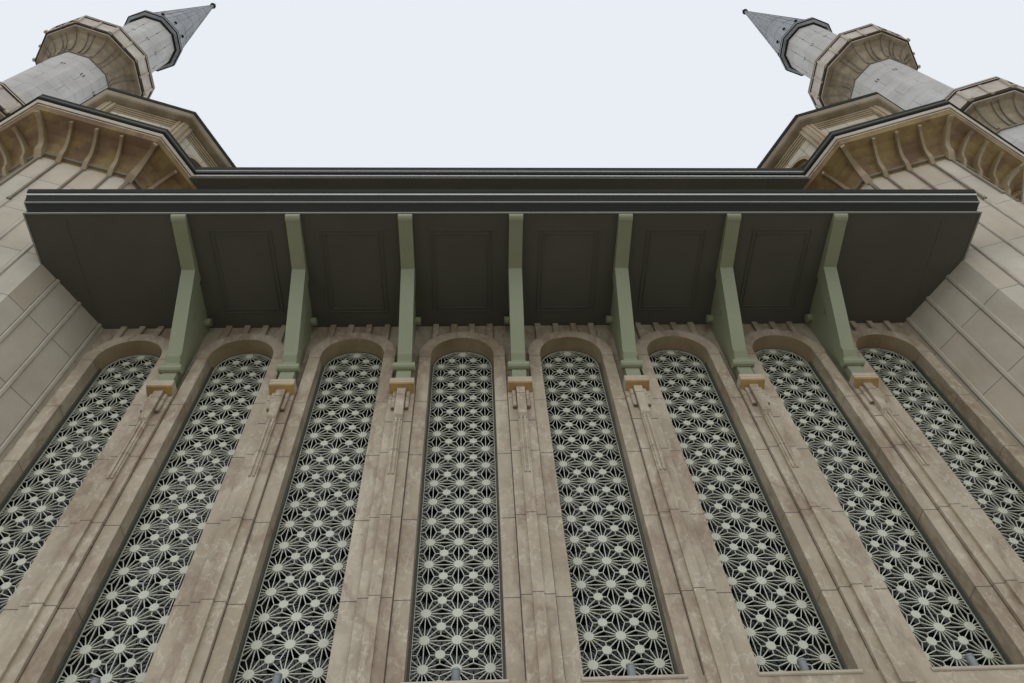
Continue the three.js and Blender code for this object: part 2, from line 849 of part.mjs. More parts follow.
towers.forEach((tower) => {
  place(`${tower.name}_tower`, atTower(towerWall(), tower), cladding);
  place(`${tower.name}_crown`, atTower(towerCrown(), tower), stone);
  place(`${tower.name}_turret`, atTower(towerTier(), tower), cladding);
});

[-1, 1].forEach((side) => {
  const name = side < 0 ? "left" : "right";
  place(`${name}_wing`, wing(side), cladding);
  place(`${name}_wing_windows`, wingGlass(side), glass);
  place(`${name}_minaret_pedestal`, atMinaret(minaretPedestal(), side), cladding);
  place(`${name}_minaret_shaft`, atMinaret(minaretShaft(), side), cladding);
  const below = balcony(BALCONIES.lower, SHAFT_RADII.lower, SHAFT_RADII.middle);
  const above = balcony(BALCONIES.upper, SHAFT_RADII.middle, SHAFT_RADII.upper);
  place(`${name}_lower_balcony`, atMinaret(below, side), cladding);
  place(`${name}_upper_balcony`, atMinaret(above, side), cladding);
  place(`${name}_spire`, atMinaret(spire(), side), lead);
});

export default building;
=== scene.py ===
"""Dresses the half-size model of a mosque building and gives it its camera, floor and light.

Metres of the model, +Z up, -Y out of the entrance front, the prayer hall's centre at the origin.
"""

import json
import logging
import math
import re
from contextlib import contextmanager
from dataclasses import dataclass
from enum import Enum
from typing import Any, Iterable, Iterator, Mapping, Optional, Sequence

import bmesh
import bpy
from mathutils import Matrix, Vector

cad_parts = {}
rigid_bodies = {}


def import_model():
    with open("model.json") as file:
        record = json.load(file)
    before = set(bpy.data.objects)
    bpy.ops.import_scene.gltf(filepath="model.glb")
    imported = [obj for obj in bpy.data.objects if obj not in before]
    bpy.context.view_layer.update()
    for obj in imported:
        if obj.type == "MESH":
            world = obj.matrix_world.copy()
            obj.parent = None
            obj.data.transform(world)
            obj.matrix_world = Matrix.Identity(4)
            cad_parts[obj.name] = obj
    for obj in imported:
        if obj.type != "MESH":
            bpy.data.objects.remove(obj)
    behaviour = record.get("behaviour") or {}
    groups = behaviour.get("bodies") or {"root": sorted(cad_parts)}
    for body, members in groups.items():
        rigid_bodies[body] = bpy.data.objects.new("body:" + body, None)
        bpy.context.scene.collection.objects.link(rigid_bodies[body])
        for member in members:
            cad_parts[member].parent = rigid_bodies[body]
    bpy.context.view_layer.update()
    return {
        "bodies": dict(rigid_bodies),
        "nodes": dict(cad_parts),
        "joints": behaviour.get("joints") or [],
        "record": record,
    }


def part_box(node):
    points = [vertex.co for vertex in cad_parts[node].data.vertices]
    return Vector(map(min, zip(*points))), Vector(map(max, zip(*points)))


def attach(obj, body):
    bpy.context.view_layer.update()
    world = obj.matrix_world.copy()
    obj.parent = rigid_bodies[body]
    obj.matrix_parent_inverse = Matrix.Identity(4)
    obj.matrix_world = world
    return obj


LOG = logging.getLogger("mosque")
BODY = "root"
MERGED = 1e-5  # vertices nearer than this become one
WAYS = (("left", -1), ("right", 1))

Pair = tuple[float, float]
Point = tuple[float, float, float]
Outline = Sequence[Pair]
Piece = bpy.types.Object
Material = bpy.types.Material
Settings = Mapping[Any, Any]
Node = bpy.types.Node
Socket = bpy.types.NodeSocket

# kinds of node that come up often
MATH = "ShaderNodeMath"
VECTORS = "ShaderNodeVectorMath"
MIX = "ShaderNodeMix"
RANGE = "ShaderNodeMapRange"


def linear(hex_colour: str, alpha: float = 1.0) -> tuple[float, float, float, float]:
    """Turns an sRGB hex colour such as "#a89880" into linear red, green, blue and alpha.

    Args:
        hex_colour: the colour as a web colour.
        alpha: the fourth value.

    Returns:
        The four values a colour socket takes.
    """
    parts = [int(hex_colour[i : i + 2], 16) / 255 for i in (1, 3, 5)]
    red, green, blue = [c / 12.92 if c <= 0.04045 else ((c + 0.055) / 1.055) ** 2.4 for c in parts]
    return (red, green, blue, alpha)


def feed(tree: bpy.types.NodeTree, entry: Socket, value: Any) -> None:
    """Links an input, or sets it to a hex colour or to numbers.

    Args:
        tree: the node tree it belongs to.
        entry: the input.
        value: a socket, a node for its first output, a hex colour, or what the input holds.
    """
    if isinstance(value, Node):
        value = value.outputs[0]
    if isinstance(value, Socket):
        tree.links.new(value, entry)
    else:
        entry.default_value = linear(value) if isinstance(value, str) else value


def add_node(tree: bpy.types.NodeTree, kind: str, settings: Optional[Settings] = None) -> Node:
    """Adds a shader node with its settings and its incoming links.

    Args:
        tree: the node tree of a material or world.
        kind: the node's type name.
        settings: properties by name, and what feeds each input by its name or number.

    Returns:
        The new node.
    """
    node = tree.nodes.new(kind)
    for key, value in (settings or {}).items():
        if isinstance(key, str) and hasattr(node, key):
            setattr(node, key, value)
        else:
            feed(tree, node.inputs[key], value)
    return node


class Sheet:
    """A new material's node tree, with the steps that several finishes share."""

    def __init__(self, name: str) -> None:
        """Starts a material with its principled shader.

        Args:
            name: the material's name.
        """
        self.material = bpy.data.materials.new(name)
        self.material.use_nodes = True
        self.tree = self.material.node_tree
        self.tree.nodes.clear()
        self.shader = self.add("ShaderNodeBsdfPrincipled")
        self.add("ShaderNodeOutputMaterial", {"Surface": self.shader})
        self.place = self.add("ShaderNodeTexCoord").outputs["Object"]

    def add(self, kind: str, settings: Optional[Settings] = None) -> Node:
        """Adds a node to this material, as add_node does."""
        return add_node(self.tree, kind, settings)

    def noise(self, period: float, detail: float = 4.0, tall: float = 1.0) -> Node:
        """A soft noise from 0 to 1: metres of its patches, finer layers, and how much taller than wide."""
        stretched = self.add("ShaderNodeMapping", {"Scale": (1, 1, 1 / tall), "Vector": self.place})
        settings = {"Scale": 1 / period, "Detail": detail, "Roughness": 0.6, "Vector": stretched}
        return self.add("ShaderNodeTexNoise", settings)

    def patches(self, period: float, detail: float, low: float, high: float, tall: float = 1.0) -> Node:
        """Patches of noise, from none where it is low to full where it is high."""
        return self.add(RANGE, {0: self.noise(period, detail, tall), 1: low, 2: high})

    def threads(self, period: float, detail: float, tall: float, width: float) -> Node:
        """Winding lines where the noise crosses its middle, as wide as that share of its range."""
        noise = self.noise(period, detail, tall)
        offset = self.add(MATH, {"operation": "SUBTRACT", 0: noise, 1: 0.5})
        distance = self.add(MATH, {"operation": "ABSOLUTE", 0: offset})
        return self.add(RANGE, {0: distance, 1: width, 2: 0.0})

    def stained(self, body: Any, stains: Iterable[tuple[Any, float, str]]) -> Socket:
        """Lays colours over a body, one after the other.

        Args:
            body: the hex colour to start from.
            stains: where each lies, how strongly, and its hex colour.

        Returns:
            The colour socket of the whole.
        """
        for share, strength, colour in stains:
            if strength != 1:
                share = self.add(MATH, {"operation": "MULTIPLY", 0: share, 1: strength})
            body = self.add(MIX, {"data_type": "RGBA", 0: share, 6: body, 7: colour}).outputs[2]
        return body

    def raised(self, start: float, share: Node, amount: float) -> Node:
        """A number that grows by an amount where a share is full."""
        part = self.add(MATH, {"operation": "MULTIPLY", 0: share, 1: amount})
        return self.add(MATH, {"operation": "ADD", 0: start, 1: part})

    def jointed(self, grain: Node, share: float, joint: Any) -> Node:
        """The height of slabs with a grain on them and sunk joints between them."""
        part = self.add(MATH, {"operation": "MULTIPLY", 0: grain, 1: share})
        return self.add(MATH, {"operation": "SUBTRACT", 0: part, 1: joint})

    def dress(
        self, colour: Any, roughness: Any, bump: Optional[Node] = None, depth: float = 0.0, **others: float
    ) -> Material:
        """Feeds the shader and finishes the material.

        Args:
            colour: a socket or a hex colour.
            roughness: a socket or a number.
            bump: height from 0 to 1, if any.
            depth: the height in metres that 1 stands for.
            others: other values by socket name, with spaces written as underscores.

        Returns:
            The finished material.
        """
        for name, value in {"Base Color": colour, "Roughness": roughness, **others}.items():
            feed(self.tree, self.shader.inputs[name.replace("_", " ")], value)
        if bump is not None:
            relief = self.add("ShaderNodeBump", {"Strength": 1.0, "Distance": depth, "Height": bump})
            feed(self.tree, self.shader.inputs["Normal"], relief)
        return self.material


@dataclass(frozen=True)
class HonedMarble:
    """Beige-brown marble slabs, sawn and honed: soft clouds, rusty veins and thin dark joints."""

    name: str = "honed_beige_marble"
    pale: str = "#c3b69f"
    deep: str = "#998a72"
    vein: str = "#704f37"
    joint: str = "#4a3d30"
    course: float = 0.61  # height of a slab course
    first_joint: float = 5.475
    joint_width: float = 0.006
    slab: float = 0.45  # the tone changes from strip to strip

    def build(self) -> Material:
        """Builds the material."""
        sheet = Sheet(self.name)
        x, y, z = sheet.add("ShaderNodeSeparateXYZ", {"Vector": sheet.place}).outputs
        along = sheet.add(MATH, {"operation": "ADD", 0: x, 1: y})
        height = sheet.add(MATH, {"operation": "SUBTRACT", 0: z, 1: self.first_joint})
        row = sheet.add(MATH, {"operation": "DIVIDE", 0: height, 1: self.course})
        part = sheet.add(MATH, {"operation": "FRACT", 0: row})
        rest = sheet.add(MATH, {"operation": "SUBTRACT", 0: 1.0, 1: part})
        edge = sheet.add(MATH, {"operation": "MINIMUM", 0: part, 1: rest})
        half_joint = self.joint_width / self.course / 2
        joint = sheet.add(MATH, {"operation": "LESS_THAN", 0: edge, 1: half_joint})
        strip = sheet.add(MATH, {"operation": "DIVIDE", 0: along, 1: self.slab})
        cell = [sheet.add(MATH, {"operation": "FLOOR", 0: place}) for place in (strip, row)]
        corner = sheet.add("ShaderNodeCombineXYZ", {0: cell[0], 1: cell[1]})
        tone = sheet.add("ShaderNodeTexWhiteNoise", {"noise_dimensions": "2D", "Vector": corner})
        clouds = sheet.patches(0.45, 6.0, 0.3, 0.7, 1.8)
        grain = sheet.noise(0.012, 3.0)
        stains = (
            (clouds, 1, self.deep),
            (tone, 0.35, "#9c8f78"),  # the tone of each slab
            (sheet.patches(0.11, 7.0, 0.42, 0.7, 1.6), 0.4, "#7d6f5a"),  # mottles
            (sheet.threads(0.26, 7.0, 1.5, 0.012), 0.4, "#ded4c0"),  # pale threads
            (sheet.patches(0.045, 5.0, 0.55, 0.72), 0.3, "#d9cfba"),  # pale chips
            (sheet.threads(0.6, 8.0, 2.2, 0.035), 0.42, self.vein),
            (sheet.patches(0.9, 5.0, 0.56, 0.75), 0.22, "#8b7053"),  # rust washed down
            (grain, 0.16, "#5d4f40"),
            (joint, 0.8, self.joint),
        )
        body, rough = sheet.stained(self.pale, stains), sheet.raised(0.52, clouds, 0.12)
        return sheet.dress(body, rough, sheet.jointed(grain, 0.12, joint), 0.003)


@dataclass(frozen=True)
class SawnStone:
    """Plain limestone, sawn and rubbed: pale, fine grained, a little dust along it."""

    name: str = "rubbed_limestone"
    pale: str = "#c2b8a4"
    deep: str = "#a4977f"
    soft: float = 0.2  # half the range over which one tone passes into the other

    def build(self) -> Material:
        """Builds the material."""
        sheet = Sheet(self.name)
        clouds = sheet.patches(0.3, 5.0, 0.5 - self.soft, 0.5 + self.soft)
        grain = sheet.noise(0.008, 3.0)
        body = sheet.stained(self.pale, [(clouds, 1, self.deep), (grain, 0.2, "#7a6c58")])
        return sheet.dress(body, 0.6, grain, 0.0008)


@dataclass(frozen=True)
class SlabCladding:
    """Limestone slabs hung on a many-sided wall: pale, each face with its own thin dark joints."""

    name: str
    centre: Vector  # the tower's axis, so that joints lie alike on every face
    slab: float = 0.62
    course: float = 0.42
    bond: float = 0.5  # how far each course is shifted against the one below, in slabs
    first_joint: float = 0.0  # height of a level joint
    shift: float = 0.0  # how far the upright joints lie left of the face's middle
    joint_width: float = 0.007
    pale: str = "#c6c1b1"
    deep: str = "#a7a091"
    warm: str = "#af9c80"
    joint: str = "#55504a"

    def build(self) -> Material:
        """Builds the material."""
        sheet = Sheet(self.name)
        normal = sheet.add("ShaderNodeNewGeometry").outputs["True Normal"]

        offset = sheet.add(VECTORS, {"operation": "SUBTRACT", 0: sheet.place, 1: self.centre})
        tangent = sheet.add(VECTORS, {"operation": "CROSS_PRODUCT", 0: (0, 0, 1), 1: normal})
        level = sheet.add(VECTORS, {"operation": "NORMALIZE", 0: tangent})
        along = sheet.add(VECTORS, {"operation": "DOT_PRODUCT", 0: offset, 1: level}).outputs["Value"]
        height = sheet.add("ShaderNodeSeparateXYZ", {0: sheet.place}).outputs[2]
        across_face = sheet.add(MATH, {"operation": "ADD", 0: along, 1: self.shift})
        up_face = sheet.add(MATH, {"operation": "SUBTRACT", 0: height, 1: self.first_joint})
        slabs = {
            "offset": self.bond,
            "Scale": 1.0,
            "Mortar Size": self.joint_width / 2,
            "Mortar Smooth": 0.0,
            "Brick Width": self.slab,
            "Row Height": self.course,
            "Color1": "#000000",
            "Color2": "#ffffff",
            "Mortar": (0.5, 0.5, 0.5, 1),
            "Vector": sheet.add("ShaderNodeCombineXYZ", {0: across_face, 1: up_face}),
        }
        bricks = sheet.add("ShaderNodeTexBrick", slabs)
        joint = bricks.outputs["Fac"]
        grain = sheet.noise(0.01, 3.0)
        stains = (
            (sheet.patches(0.6, 6.0, 0.3, 0.7), 1, self.deep),
            (bricks.outputs["Color"], 0.4, self.warm),  # the tone of each slab
            (grain, 0.15, "#6b665c"),
            (sheet.patches(0.16, 4.0, 0.5, 0.8, 9), 0.25, "#7a7466"),  # streaks of rain
            (joint, 0.75, self.joint),
        )
        body = sheet.stained(self.pale, stains)
        return sheet.dress(body, 0.62, sheet.jointed(grain, 0.1, joint), 0.003)


@dataclass(frozen=True)
class BrushedPaint:
    """Paint brushed on metal: an even colour, a faint orange peel, dust in the hollows."""

    name: str
    colour: str
    dust: str
    roughness: float = 0.45
    patch: float = 0.5
    sheen: float = 0.5  # how strongly the surface mirrors

    def build(self) -> Material:
        """Builds the material."""
        sheet = Sheet(self.name)
        dust = sheet.patches(self.patch, 5.0, 0.42, 0.72, 2)
        body = sheet.stained(self.colour, [(dust, 0.4, self.dust)])
        rough = sheet.raised(self.roughness, dust, 0.15)
        return sheet.dress(body, rough, sheet.noise(0.02, 2.0), 0.0006, Specular_IOR_Level=self.sheen)


@dataclass(frozen=True)
class LeadSheet:
    """Rolled lead dressed by hand: grey, blotched by weather, gently uneven."""

    name: str = "dressed_lead_sheet"

    def build(self) -> Material:
        """Builds the material."""
        sheet = Sheet(self.name)
        blotches = sheet.patches(0.7, 6.0, 0.35, 0.7, 2)
        streaks = sheet.patches(0.12, 4.0, 0.5, 0.75, 10)
        body = sheet.stained("#727577", [(blotches, 1, "#9c9e9f"), (streaks, 0.35, "#b5b7b5")])
        rough = sheet.raised(0.42, blotches, 0.2)
        return sheet.dress(body, rough, sheet.noise(0.3, 3.0), 0.01, Metallic=0.4)


@dataclass(frozen=True)
class DarkGlass:
    """Float glass painted near black as the shade of the unlit hall behind it: glossy, a trace of rain
    marks.
    """

    name: str = "dark_float_glass"

    def build(self) -> Material:
        """Builds the material."""
        sheet = Sheet(self.name)
        marks = sheet.patches(0.08, 4.0, 0.45, 0.8, 6)
        # near black: painted shade of the unlit hall behind the glass
        body = sheet.stained("#0c0f10", [(marks, 1, "#15191b")])
        rough = sheet.raised(0.06, marks, 0.12)
        return sheet.dress(body, rough, sheet.noise(0.8, 2.0), 0.002, Specular_IOR_Level=0.3)


@dataclass(frozen=True)
class GiltCopper:
    """Copper gilded with leaf: warm, bright, slightly mottled where leaves overlap."""

    name: str = "gilded_copper"

    def build(self) -> Material:
        """Builds the material."""
        sheet = Sheet(self.name)
        leaves = sheet.patches(0.12, 3.0, 0.35, 0.65)
        body = sheet.stained("#d9ae55", [(leaves, 1, "#b98a3a")])
        return sheet.dress(body, sheet.raised(0.22, leaves, 0.15), leaves, 0.0008, Metallic=1.0)


@dataclass(frozen=True)
class Finish:
    """A built material and a slot name for the pieces in it, which this script does not use."""

    material: Material
    slot: str


class Palette:
    """Every finish of the building, built once."""

    def __init__(self) -> None:
        """Builds the materials."""
        # slabs of the walls: clouded beige-brown with rusty veins
        self.marble = Finish(HonedMarble().build(), "stone")
        # sheet lead: dull grey with paler streaks
        self.lead = Finish(LeadSheet().build(), "lead")
        # glass painted near black as the shade of the hall behind it
        self.glass = DarkGlass().build()
        self.gilt = GiltCopper().build()

        # greenish black, nearly matt, so that the canopy's underside stays deep
        self.bronze = self.paint("dark_bronze_paint", "#54534a", "#646257", 0.55, sheen=0.15)
        # soft grey green with a silky gleam on the brackets
        self.sage = self.paint("sage_green_paint", "#868b6e", "#9d9f86", 0.4, slot="sage_metal")
        # pale stars against the dark glass, evenly coated
        self.lattice = self.paint(
            "powder_coated_lattice", "#c0c1af", "#a3a492", 0.42, 0.3, slot="sage_metal"
        )
        # cool grey of small cast housings
        self.casting = self.paint("grey_die_cast_aluminium", "#7f8485", "#63686a", 0.4, 0.1)
        # thin light lines on the dark edges, painted highlights of the sky on their upright faces
        self.lip = self.paint("painted_highlight_bronze_edge", "#8d8e84", "#75766c", 0.5, 0.2)
        # the same painted highlight, brighter, on the canopy's wide edge band and the cornice's edge
        self.bright_lip = self.paint("painted_highlight_pale_edge", "#c3c5bf", "#a5a7a1", 0.4, 0.2)
        # nearly black flashing without gleam
        self.black = self.paint("black_bronze_flashing", "#262621", "#35342e", 0.6, sheen=0.1)
        # brown shadow bands of the balconies
        self.umber = self.paint("umber_painted_shadow", "#44392e", "#574a3b", 0.6, sheen=0.1)

        # plain pale trim
        self.sawn_stone = self.stone("rubbed_limestone", "#c2b8a4", "#a4977f")
        # brownish from weather, for corbels, fins and pilasters
        self.corbel = self.stone("weathered_limestone", "#a8977a", "#84714f")
        # yellow-brown clouds with crisp edges under the crowns
        self.brown_stone = self.stone("iron_stained_limestone", "#96804d", "#745639", 0.09)
        # the same in gold, painted as the warm light reflected up under the corbels
        self.painted_reflected_light_stone = self.stone("painted_reflected_light_limestone", "#b2914f", "#8a6c3a", 0.12)
        # dull olive, darkened as painted shade, for the undersides of eaves, balconies and caps
        self.painted_shade_stone = self.stone("painted_shade_olive_limestone", "#a09076", "#7f7057", 0.12)
        # the towers' own warm grey, for their ribs
        self.tower_stone = self.stone("water_rubbed_limestone", "#bfb7a5", "#a49b88")
        # a trace of rose on the parapets
        self.parapet = self.stone("hand_rubbed_rose_limestone", "#c9c0b3", "#aea395")
        # nearly white where the sun takes it
        self.bleached_stone = self.stone("sun_bleached_limestone", "#e9e2d4", "#d6ccb9")
        # paler than the wall's marble, for the corbels' bands
        self.pale_marble = self.stone("bleached_beige_marble", "#c6b7a2", "#ab9a83")
        # dark lines painted as the shadow inside open joints
        self.joint = self.stone("open_joint_painted_shadow", "#4a4035", "#383027")
        # grey-brown on the strips under the crowns, and painted shade on the balcony fins and under the
        # pendants
        self.strip_stone = self.stone("grey_brown_limestone_and_painted_shade", "#887d69", "#6a604e")

    def paint(self, *values: Any, slot: str = "dark_trim", **named: Any) -> Finish:
        """A painted metal, its values those of BrushedPaint."""
        return Finish(BrushedPaint(*values, **named).build(), slot)

    def stone(self, *values: Any) -> Finish:
        """A plain stone, its values those of SawnStone."""
        return Finish(SawnStone(*values).build(), "stone")

    def cladding(self, name: str, centre: Vector) -> Material:
        """The slabs about one upright axis: greyer on the minarets, upright strips on the towers."""
        title = f"limestone_cladding_{name}"
        if name.endswith("minaret"):
            return SlabCladding(title, centre, pale="#c2bfba", deep="#a6a39e", warm="#b2aba1").build()
        if name.startswith(("front", "rear")):
            upright = {"slab": 0.245, "course": 0.653, "bond": 0.0, "first_joint": 5.467, "shift": 0.02}
            return SlabCladding(title, centre, pale="#c8c0ad", deep="#a89f8c", **upright).build()
        return SlabCladding(title, centre).build()


def across(x: float) -> Matrix:
    """A move along the x axis."""
    return Matrix.Translation((x, 0, 0))


def about_axis(angle: float) -> Matrix:
    """A turn about the upright axis, in radians."""
    return Matrix.Rotation(angle, 4, "Z")


class Side(Enum):
    """The four sides of the hall, by the quarter turns that bring the front there."""

    FRONT = 0
    RIGHT = 1
    REAR = 2
    LEFT = 3

    @property
    def turn(self) -> Matrix:
        """The rotation from the front to this side."""
        return about_axis(math.radians(90 * self.value))


@dataclass
class Camera:
    """The viewpoint of the photograph: close to the wall, looking steeply up."""

    place: Point = (-0.328, -8.389, 0.800)
    pitch: float = 57.585
    yaw: float = 4.883
    roll: float = -4.624
    lens: float = 27.03
    sensor: float = 36.0  # width of the frame that the lens is given for, both in millimetres
    near: float = 0.05
    far: float = 900.0

    def build(self) -> None:
        """Adds the camera and makes it the scene's own."""
        pitch, yaw, roll = (math.radians(a) for a in (self.pitch, self.yaw, self.roll))
        flat = math.cos(pitch)
        forward = Vector((math.sin(yaw) * flat, math.cos(yaw) * flat, math.sin(pitch)))
        level = Vector((math.cos(yaw), -math.sin(yaw), 0))
        upright = level.cross(forward)
        right = math.cos(roll) * level + math.sin(roll) * upright
        up = math.cos(roll) * upright - math.sin(roll) * level
        data = bpy.data.cameras.new("photo_camera")
        data.sensor_width = self.sensor
        data.lens = self.lens
        data.clip_start = self.near
        data.clip_end = self.far
        camera = bpy.data.objects.new("photo_camera", data)
        bpy.context.scene.collection.objects.link(camera)
        turn = Matrix((right, up, -forward)).transposed().to_4x4()
        camera.matrix_world = Matrix.Translation(self.place) @ turn
        bpy.context.scene.camera = camera


@dataclass
class Studio:
    """Plain floor and soft light."""

    floor_half: float = 400.0
    floor_height: float = -0.002
    sky: str = "#e9eef5"
    ground: str = "#aaa8a2"  # what the light that comes up from below the horizon is like
    horizon: Pair = (-0.5, -0.28)  # between these the ground's light passes into the sky's
    light_place: Point = (-8.0, -40.0, 26.0)
    light_aim: Point = (0.0, 0.0, 8.0)
    light_size: float = 30.0
    light_power: float = 3000.0  # watts

    def build(self) -> None:
        """Adds the floor, the sky and one large soft light."""
        bpy.ops.mesh.primitive_grid_add(x_subdivisions=4, y_subdivisions=4, size=2 * self.floor_half)
        floor = bpy.context.active_object
        floor.name = "studio_floor"
        floor.location.z = self.floor_height
        floor.data.materials.append(Sheet("studio_floor").dress("#dcdcda", 0.8))
        floor.visible_diffuse = False
        self.sky_light()
        self.soft_light()
        bpy.context.scene.view_settings.view_transform = "Standard"

    def sky_light(self) -> None:
        """Light from all round, darker from below the horizon."""
        world = bpy.data.worlds.new("studio_sky")
        world.use_nodes = True
        tree = world.node_tree
        direction = add_node(tree, "ShaderNodeTexCoord").outputs["Generated"]
        upward = add_node(tree, "ShaderNodeSeparateXYZ", {"Vector": direction}).outputs[2]
        low, high = self.horizon
        above = add_node(tree, RANGE, {0: upward, 1: low, 2: high})
        colours = {"data_type": "RGBA", 0: above, 6: self.ground, 7: self.sky}
        shade = add_node(tree, MIX, colours).outputs[2]
        feed(tree, tree.nodes["Background"].inputs["Color"], shade)
        bpy.context.scene.world = world

    def soft_light(self) -> None:
        """A large square light that faces the building."""
        data = bpy.data.lights.new("front_light", "AREA")
        data.shape = "SQUARE"
        data.size = self.light_size
        data.energy = self.light_power
        light = bpy.data.objects.new("front_light", data)
        bpy.context.scene.collection.objects.link(light)
        aim = Vector(self.light_aim) - Vector(self.light_place)
        turn = aim.to_track_quat("-Z", "Y").to_matrix().to_4x4()
        light.matrix_world = Matrix.Translation(self.light_place) @ turn


def clear_selection() -> None:
    """Leaves nothing selected, so that an operator acts on new work only."""
    bpy.ops.object.select_all(action="DESELECT")


def activate(piece: Piece) -> None:
    """Selects one piece alone and makes it the active one."""
    clear_selection()
    piece.select_set(True)
    bpy.context.view_layer.objects.active = piece


def settle(piece: Piece) -> Piece:
    """Moves a piece's place, turn and size into its mesh."""
    activate(piece)
    bpy.ops.object.transform_apply(location=True, rotation=True, scale=True)
    return piece


@contextmanager
def edit_mode(piece: Piece) -> Iterator[None]:
    """Puts a piece in edit mode for a with block, all of it selected."""
    activate(piece)
    bpy.ops.object.mode_set(mode="EDIT")
    bpy.ops.mesh.select_all(action="SELECT")
    yield
    bpy.ops.object.mode_set(mode="OBJECT")


def block(low: Point, high: Point, bevel: float = 0.0) -> Piece:
    """A box between two corners, its edges eased.

    Args:
        low: the lowest corner.
        high: the highest corner.
        bevel: width of the eased edge, none if 0.

    Returns:
        The new piece.
    """
    clear_selection()
    centre = (Vector(low) + Vector(high)) / 2
    bpy.ops.mesh.primitive_cube_add(size=1, location=centre, scale=Vector(high) - Vector(low))
    piece = settle(bpy.context.active_object)
    if bevel:
        with edit_mode(piece):
            bpy.ops.mesh.bevel(offset=bevel, segments=1, affect="EDGES")
    return piece


def bar(place: float, half: float, depths: Pair, heights: Pair, bevel: float = 0.0) -> Piece:
    """A box about a place on the x axis, by half its width, its front and back, its foot and head."""
    front, back = depths
    return block((place - half, front, heights[0]), (place + half, back, heights[1]), bevel)


def mirrored(inner: float, outer: float, depths: Pair, heights: Pair, bevel: float = 0.0) -> list[Piece]:
    """Two boxes, left and right of x = 0, between the same distances from it.

    Args:
        inner: their near sides.
        outer: their far sides.
        depths: their fronts and backs on the y axis.
        heights: their feet and heads.
        bevel: width of the eased edge, none if 0.

    Returns:
        The left piece and the right one.
    """
    place, half = (inner + outer) / 2, (outer - inner) / 2
    return [bar(way * place, half, depths, heights, bevel) for _, way in WAYS]


def frame_of_bars(
    place: float, half: float, depths: Pair, heights: Pair, line: float, bevel: float
) -> list[Piece]:
    """A rectangle of four bars on an upright face.

    Args:
        place: its centre line on the x axis.
        half: half its width.
        depths: front and back of the bars.
        heights: its foot and head.
        line: width of a bar.
        bevel: width of the bars' eased edges.

    Returns:
        The four pieces.
    """
    low, high = heights
    level = [bar(place, half, depths, span, bevel) for span in ((low, low + line), (high - line, high))]
    sides = (place + way * (half - line / 2) for _, way in WAYS)
    return level + [bar(side, line / 2, depths, (low + line, high - line), bevel) for side in sides]


@contextmanager
def drawn(points: Sequence[Point]) -> Iterator[Piece]:
    """Draws a line by extruding one vertex from point to point, and closes what is made of it.

    Args:
        points: where the line goes.

    Yields:
        The new piece in edit mode, all of it selected, to be filled, extruded or spun.
    """
    clear_selection()
    bpy.ops.mesh.primitive_plane_add(size=0.01, location=points[0])
    piece = settle(bpy.context.active_object)
    with edit_mode(piece):
        bpy.ops.mesh.select_mode(type="VERT")
        bpy.ops.mesh.select_all(action="SELECT")
        bpy.ops.mesh.merge(type="CENTER")
        for start, end in zip(points, points[1:]):
            step = Vector(end) - Vector(start)
            bpy.ops.mesh.extrude_vertices_move(TRANSFORM_OT_translate={"value": step})
        bpy.ops.mesh.select_all(action="SELECT")
        yield piece
        bpy.ops.mesh.select_all(action="SELECT")
        bpy.ops.mesh.remove_doubles(threshold=MERGED)
        bpy.ops.mesh.normals_make_consistent(inside=False)


def extrude(along: Point) -> None:
    """Extrudes the selected face, in edit mode."""
    bpy.ops.mesh.extrude_region_move(TRANSFORM_OT_translate={"value": along})


def cut_out(section: Outline, half: float, place: float = 0.0) -> Piece:
    """A section seen from the side, extruded along the x axis.

    Args:
        section: place on the y axis and height of each corner.
        half: half its width.
        place: its centre line on the x axis.

    Returns:
        The new piece.
    """
    with drawn([(place - half, y, z) for y, z in section]) as piece:
        bpy.ops.mesh.edge_face_add()
        extrude((2 * half, 0, 0))
    return piece


def turned(profile: Outline, sides: int, phase: float = 0.0) -> Piece:
    """A closed profile spun about the upright axis.

    Args:
        profile: radius and height of each corner of the profile.
        sides: how many flat sides, or steps of a round piece.
        phase: turn of the first corner, in degrees.

    Returns:
        The new piece.
    """
    with drawn([(radius, 0, height) for radius, height in (*profile, profile[0])]) as piece:
        bpy.ops.mesh.spin(steps=sides, angle=2 * math.pi, center=(0, 0, 0), axis=(0, 0, 1))
    return shifted(piece, about_axis(math.radians(phase)))


def choose_faces(piece: Piece, facing: Point) -> None:
    """Selects, in edit mode, the faces that look one way.

    Args:
        piece: the piece in edit mode.
        facing: the way they look.
    """
    bpy.ops.mesh.select_mode(type="FACE")
    bpy.ops.mesh.select_all(action="DESELECT")
    mesh = bmesh.from_edit_mesh(piece.data)
    for face in mesh.faces:
        face.select_set(face.normal.dot(Vector(facing)) > 0.9)
    bmesh.update_edit_mesh(piece.data)


def cut_away(piece: Piece, place: Point, outward: Point) -> None:
    """Cuts off what lies outward of a plane through a place, and closes the cut."""
    with edit_mode(piece):
        bpy.ops.mesh.bisect(plane_co=place, plane_no=outward, use_fill=True, clear_outer=True)


def gather(pieces: Sequence[Piece]) -> Piece:
    """Joins pieces into the first of them."""
    clear_selection()
    for piece in pieces:
        piece.select_set(True)
    bpy.context.view_layer.objects.active = pieces[0]
    if len(pieces) > 1:
        bpy.ops.object.join()
    return pieces[0]


def around(piece: Piece, count: int) -> Piece:
    """Repeats a piece in equal turns about the upright axis, within its own mesh."""
    turn = 2 * math.pi * (count - 1) / count
    with edit_mode(piece):
        bpy.ops.mesh.spin(steps=count - 1, dupli=True, angle=turn, center=(0, 0, 0), axis=(0, 0, 1))
    return piece


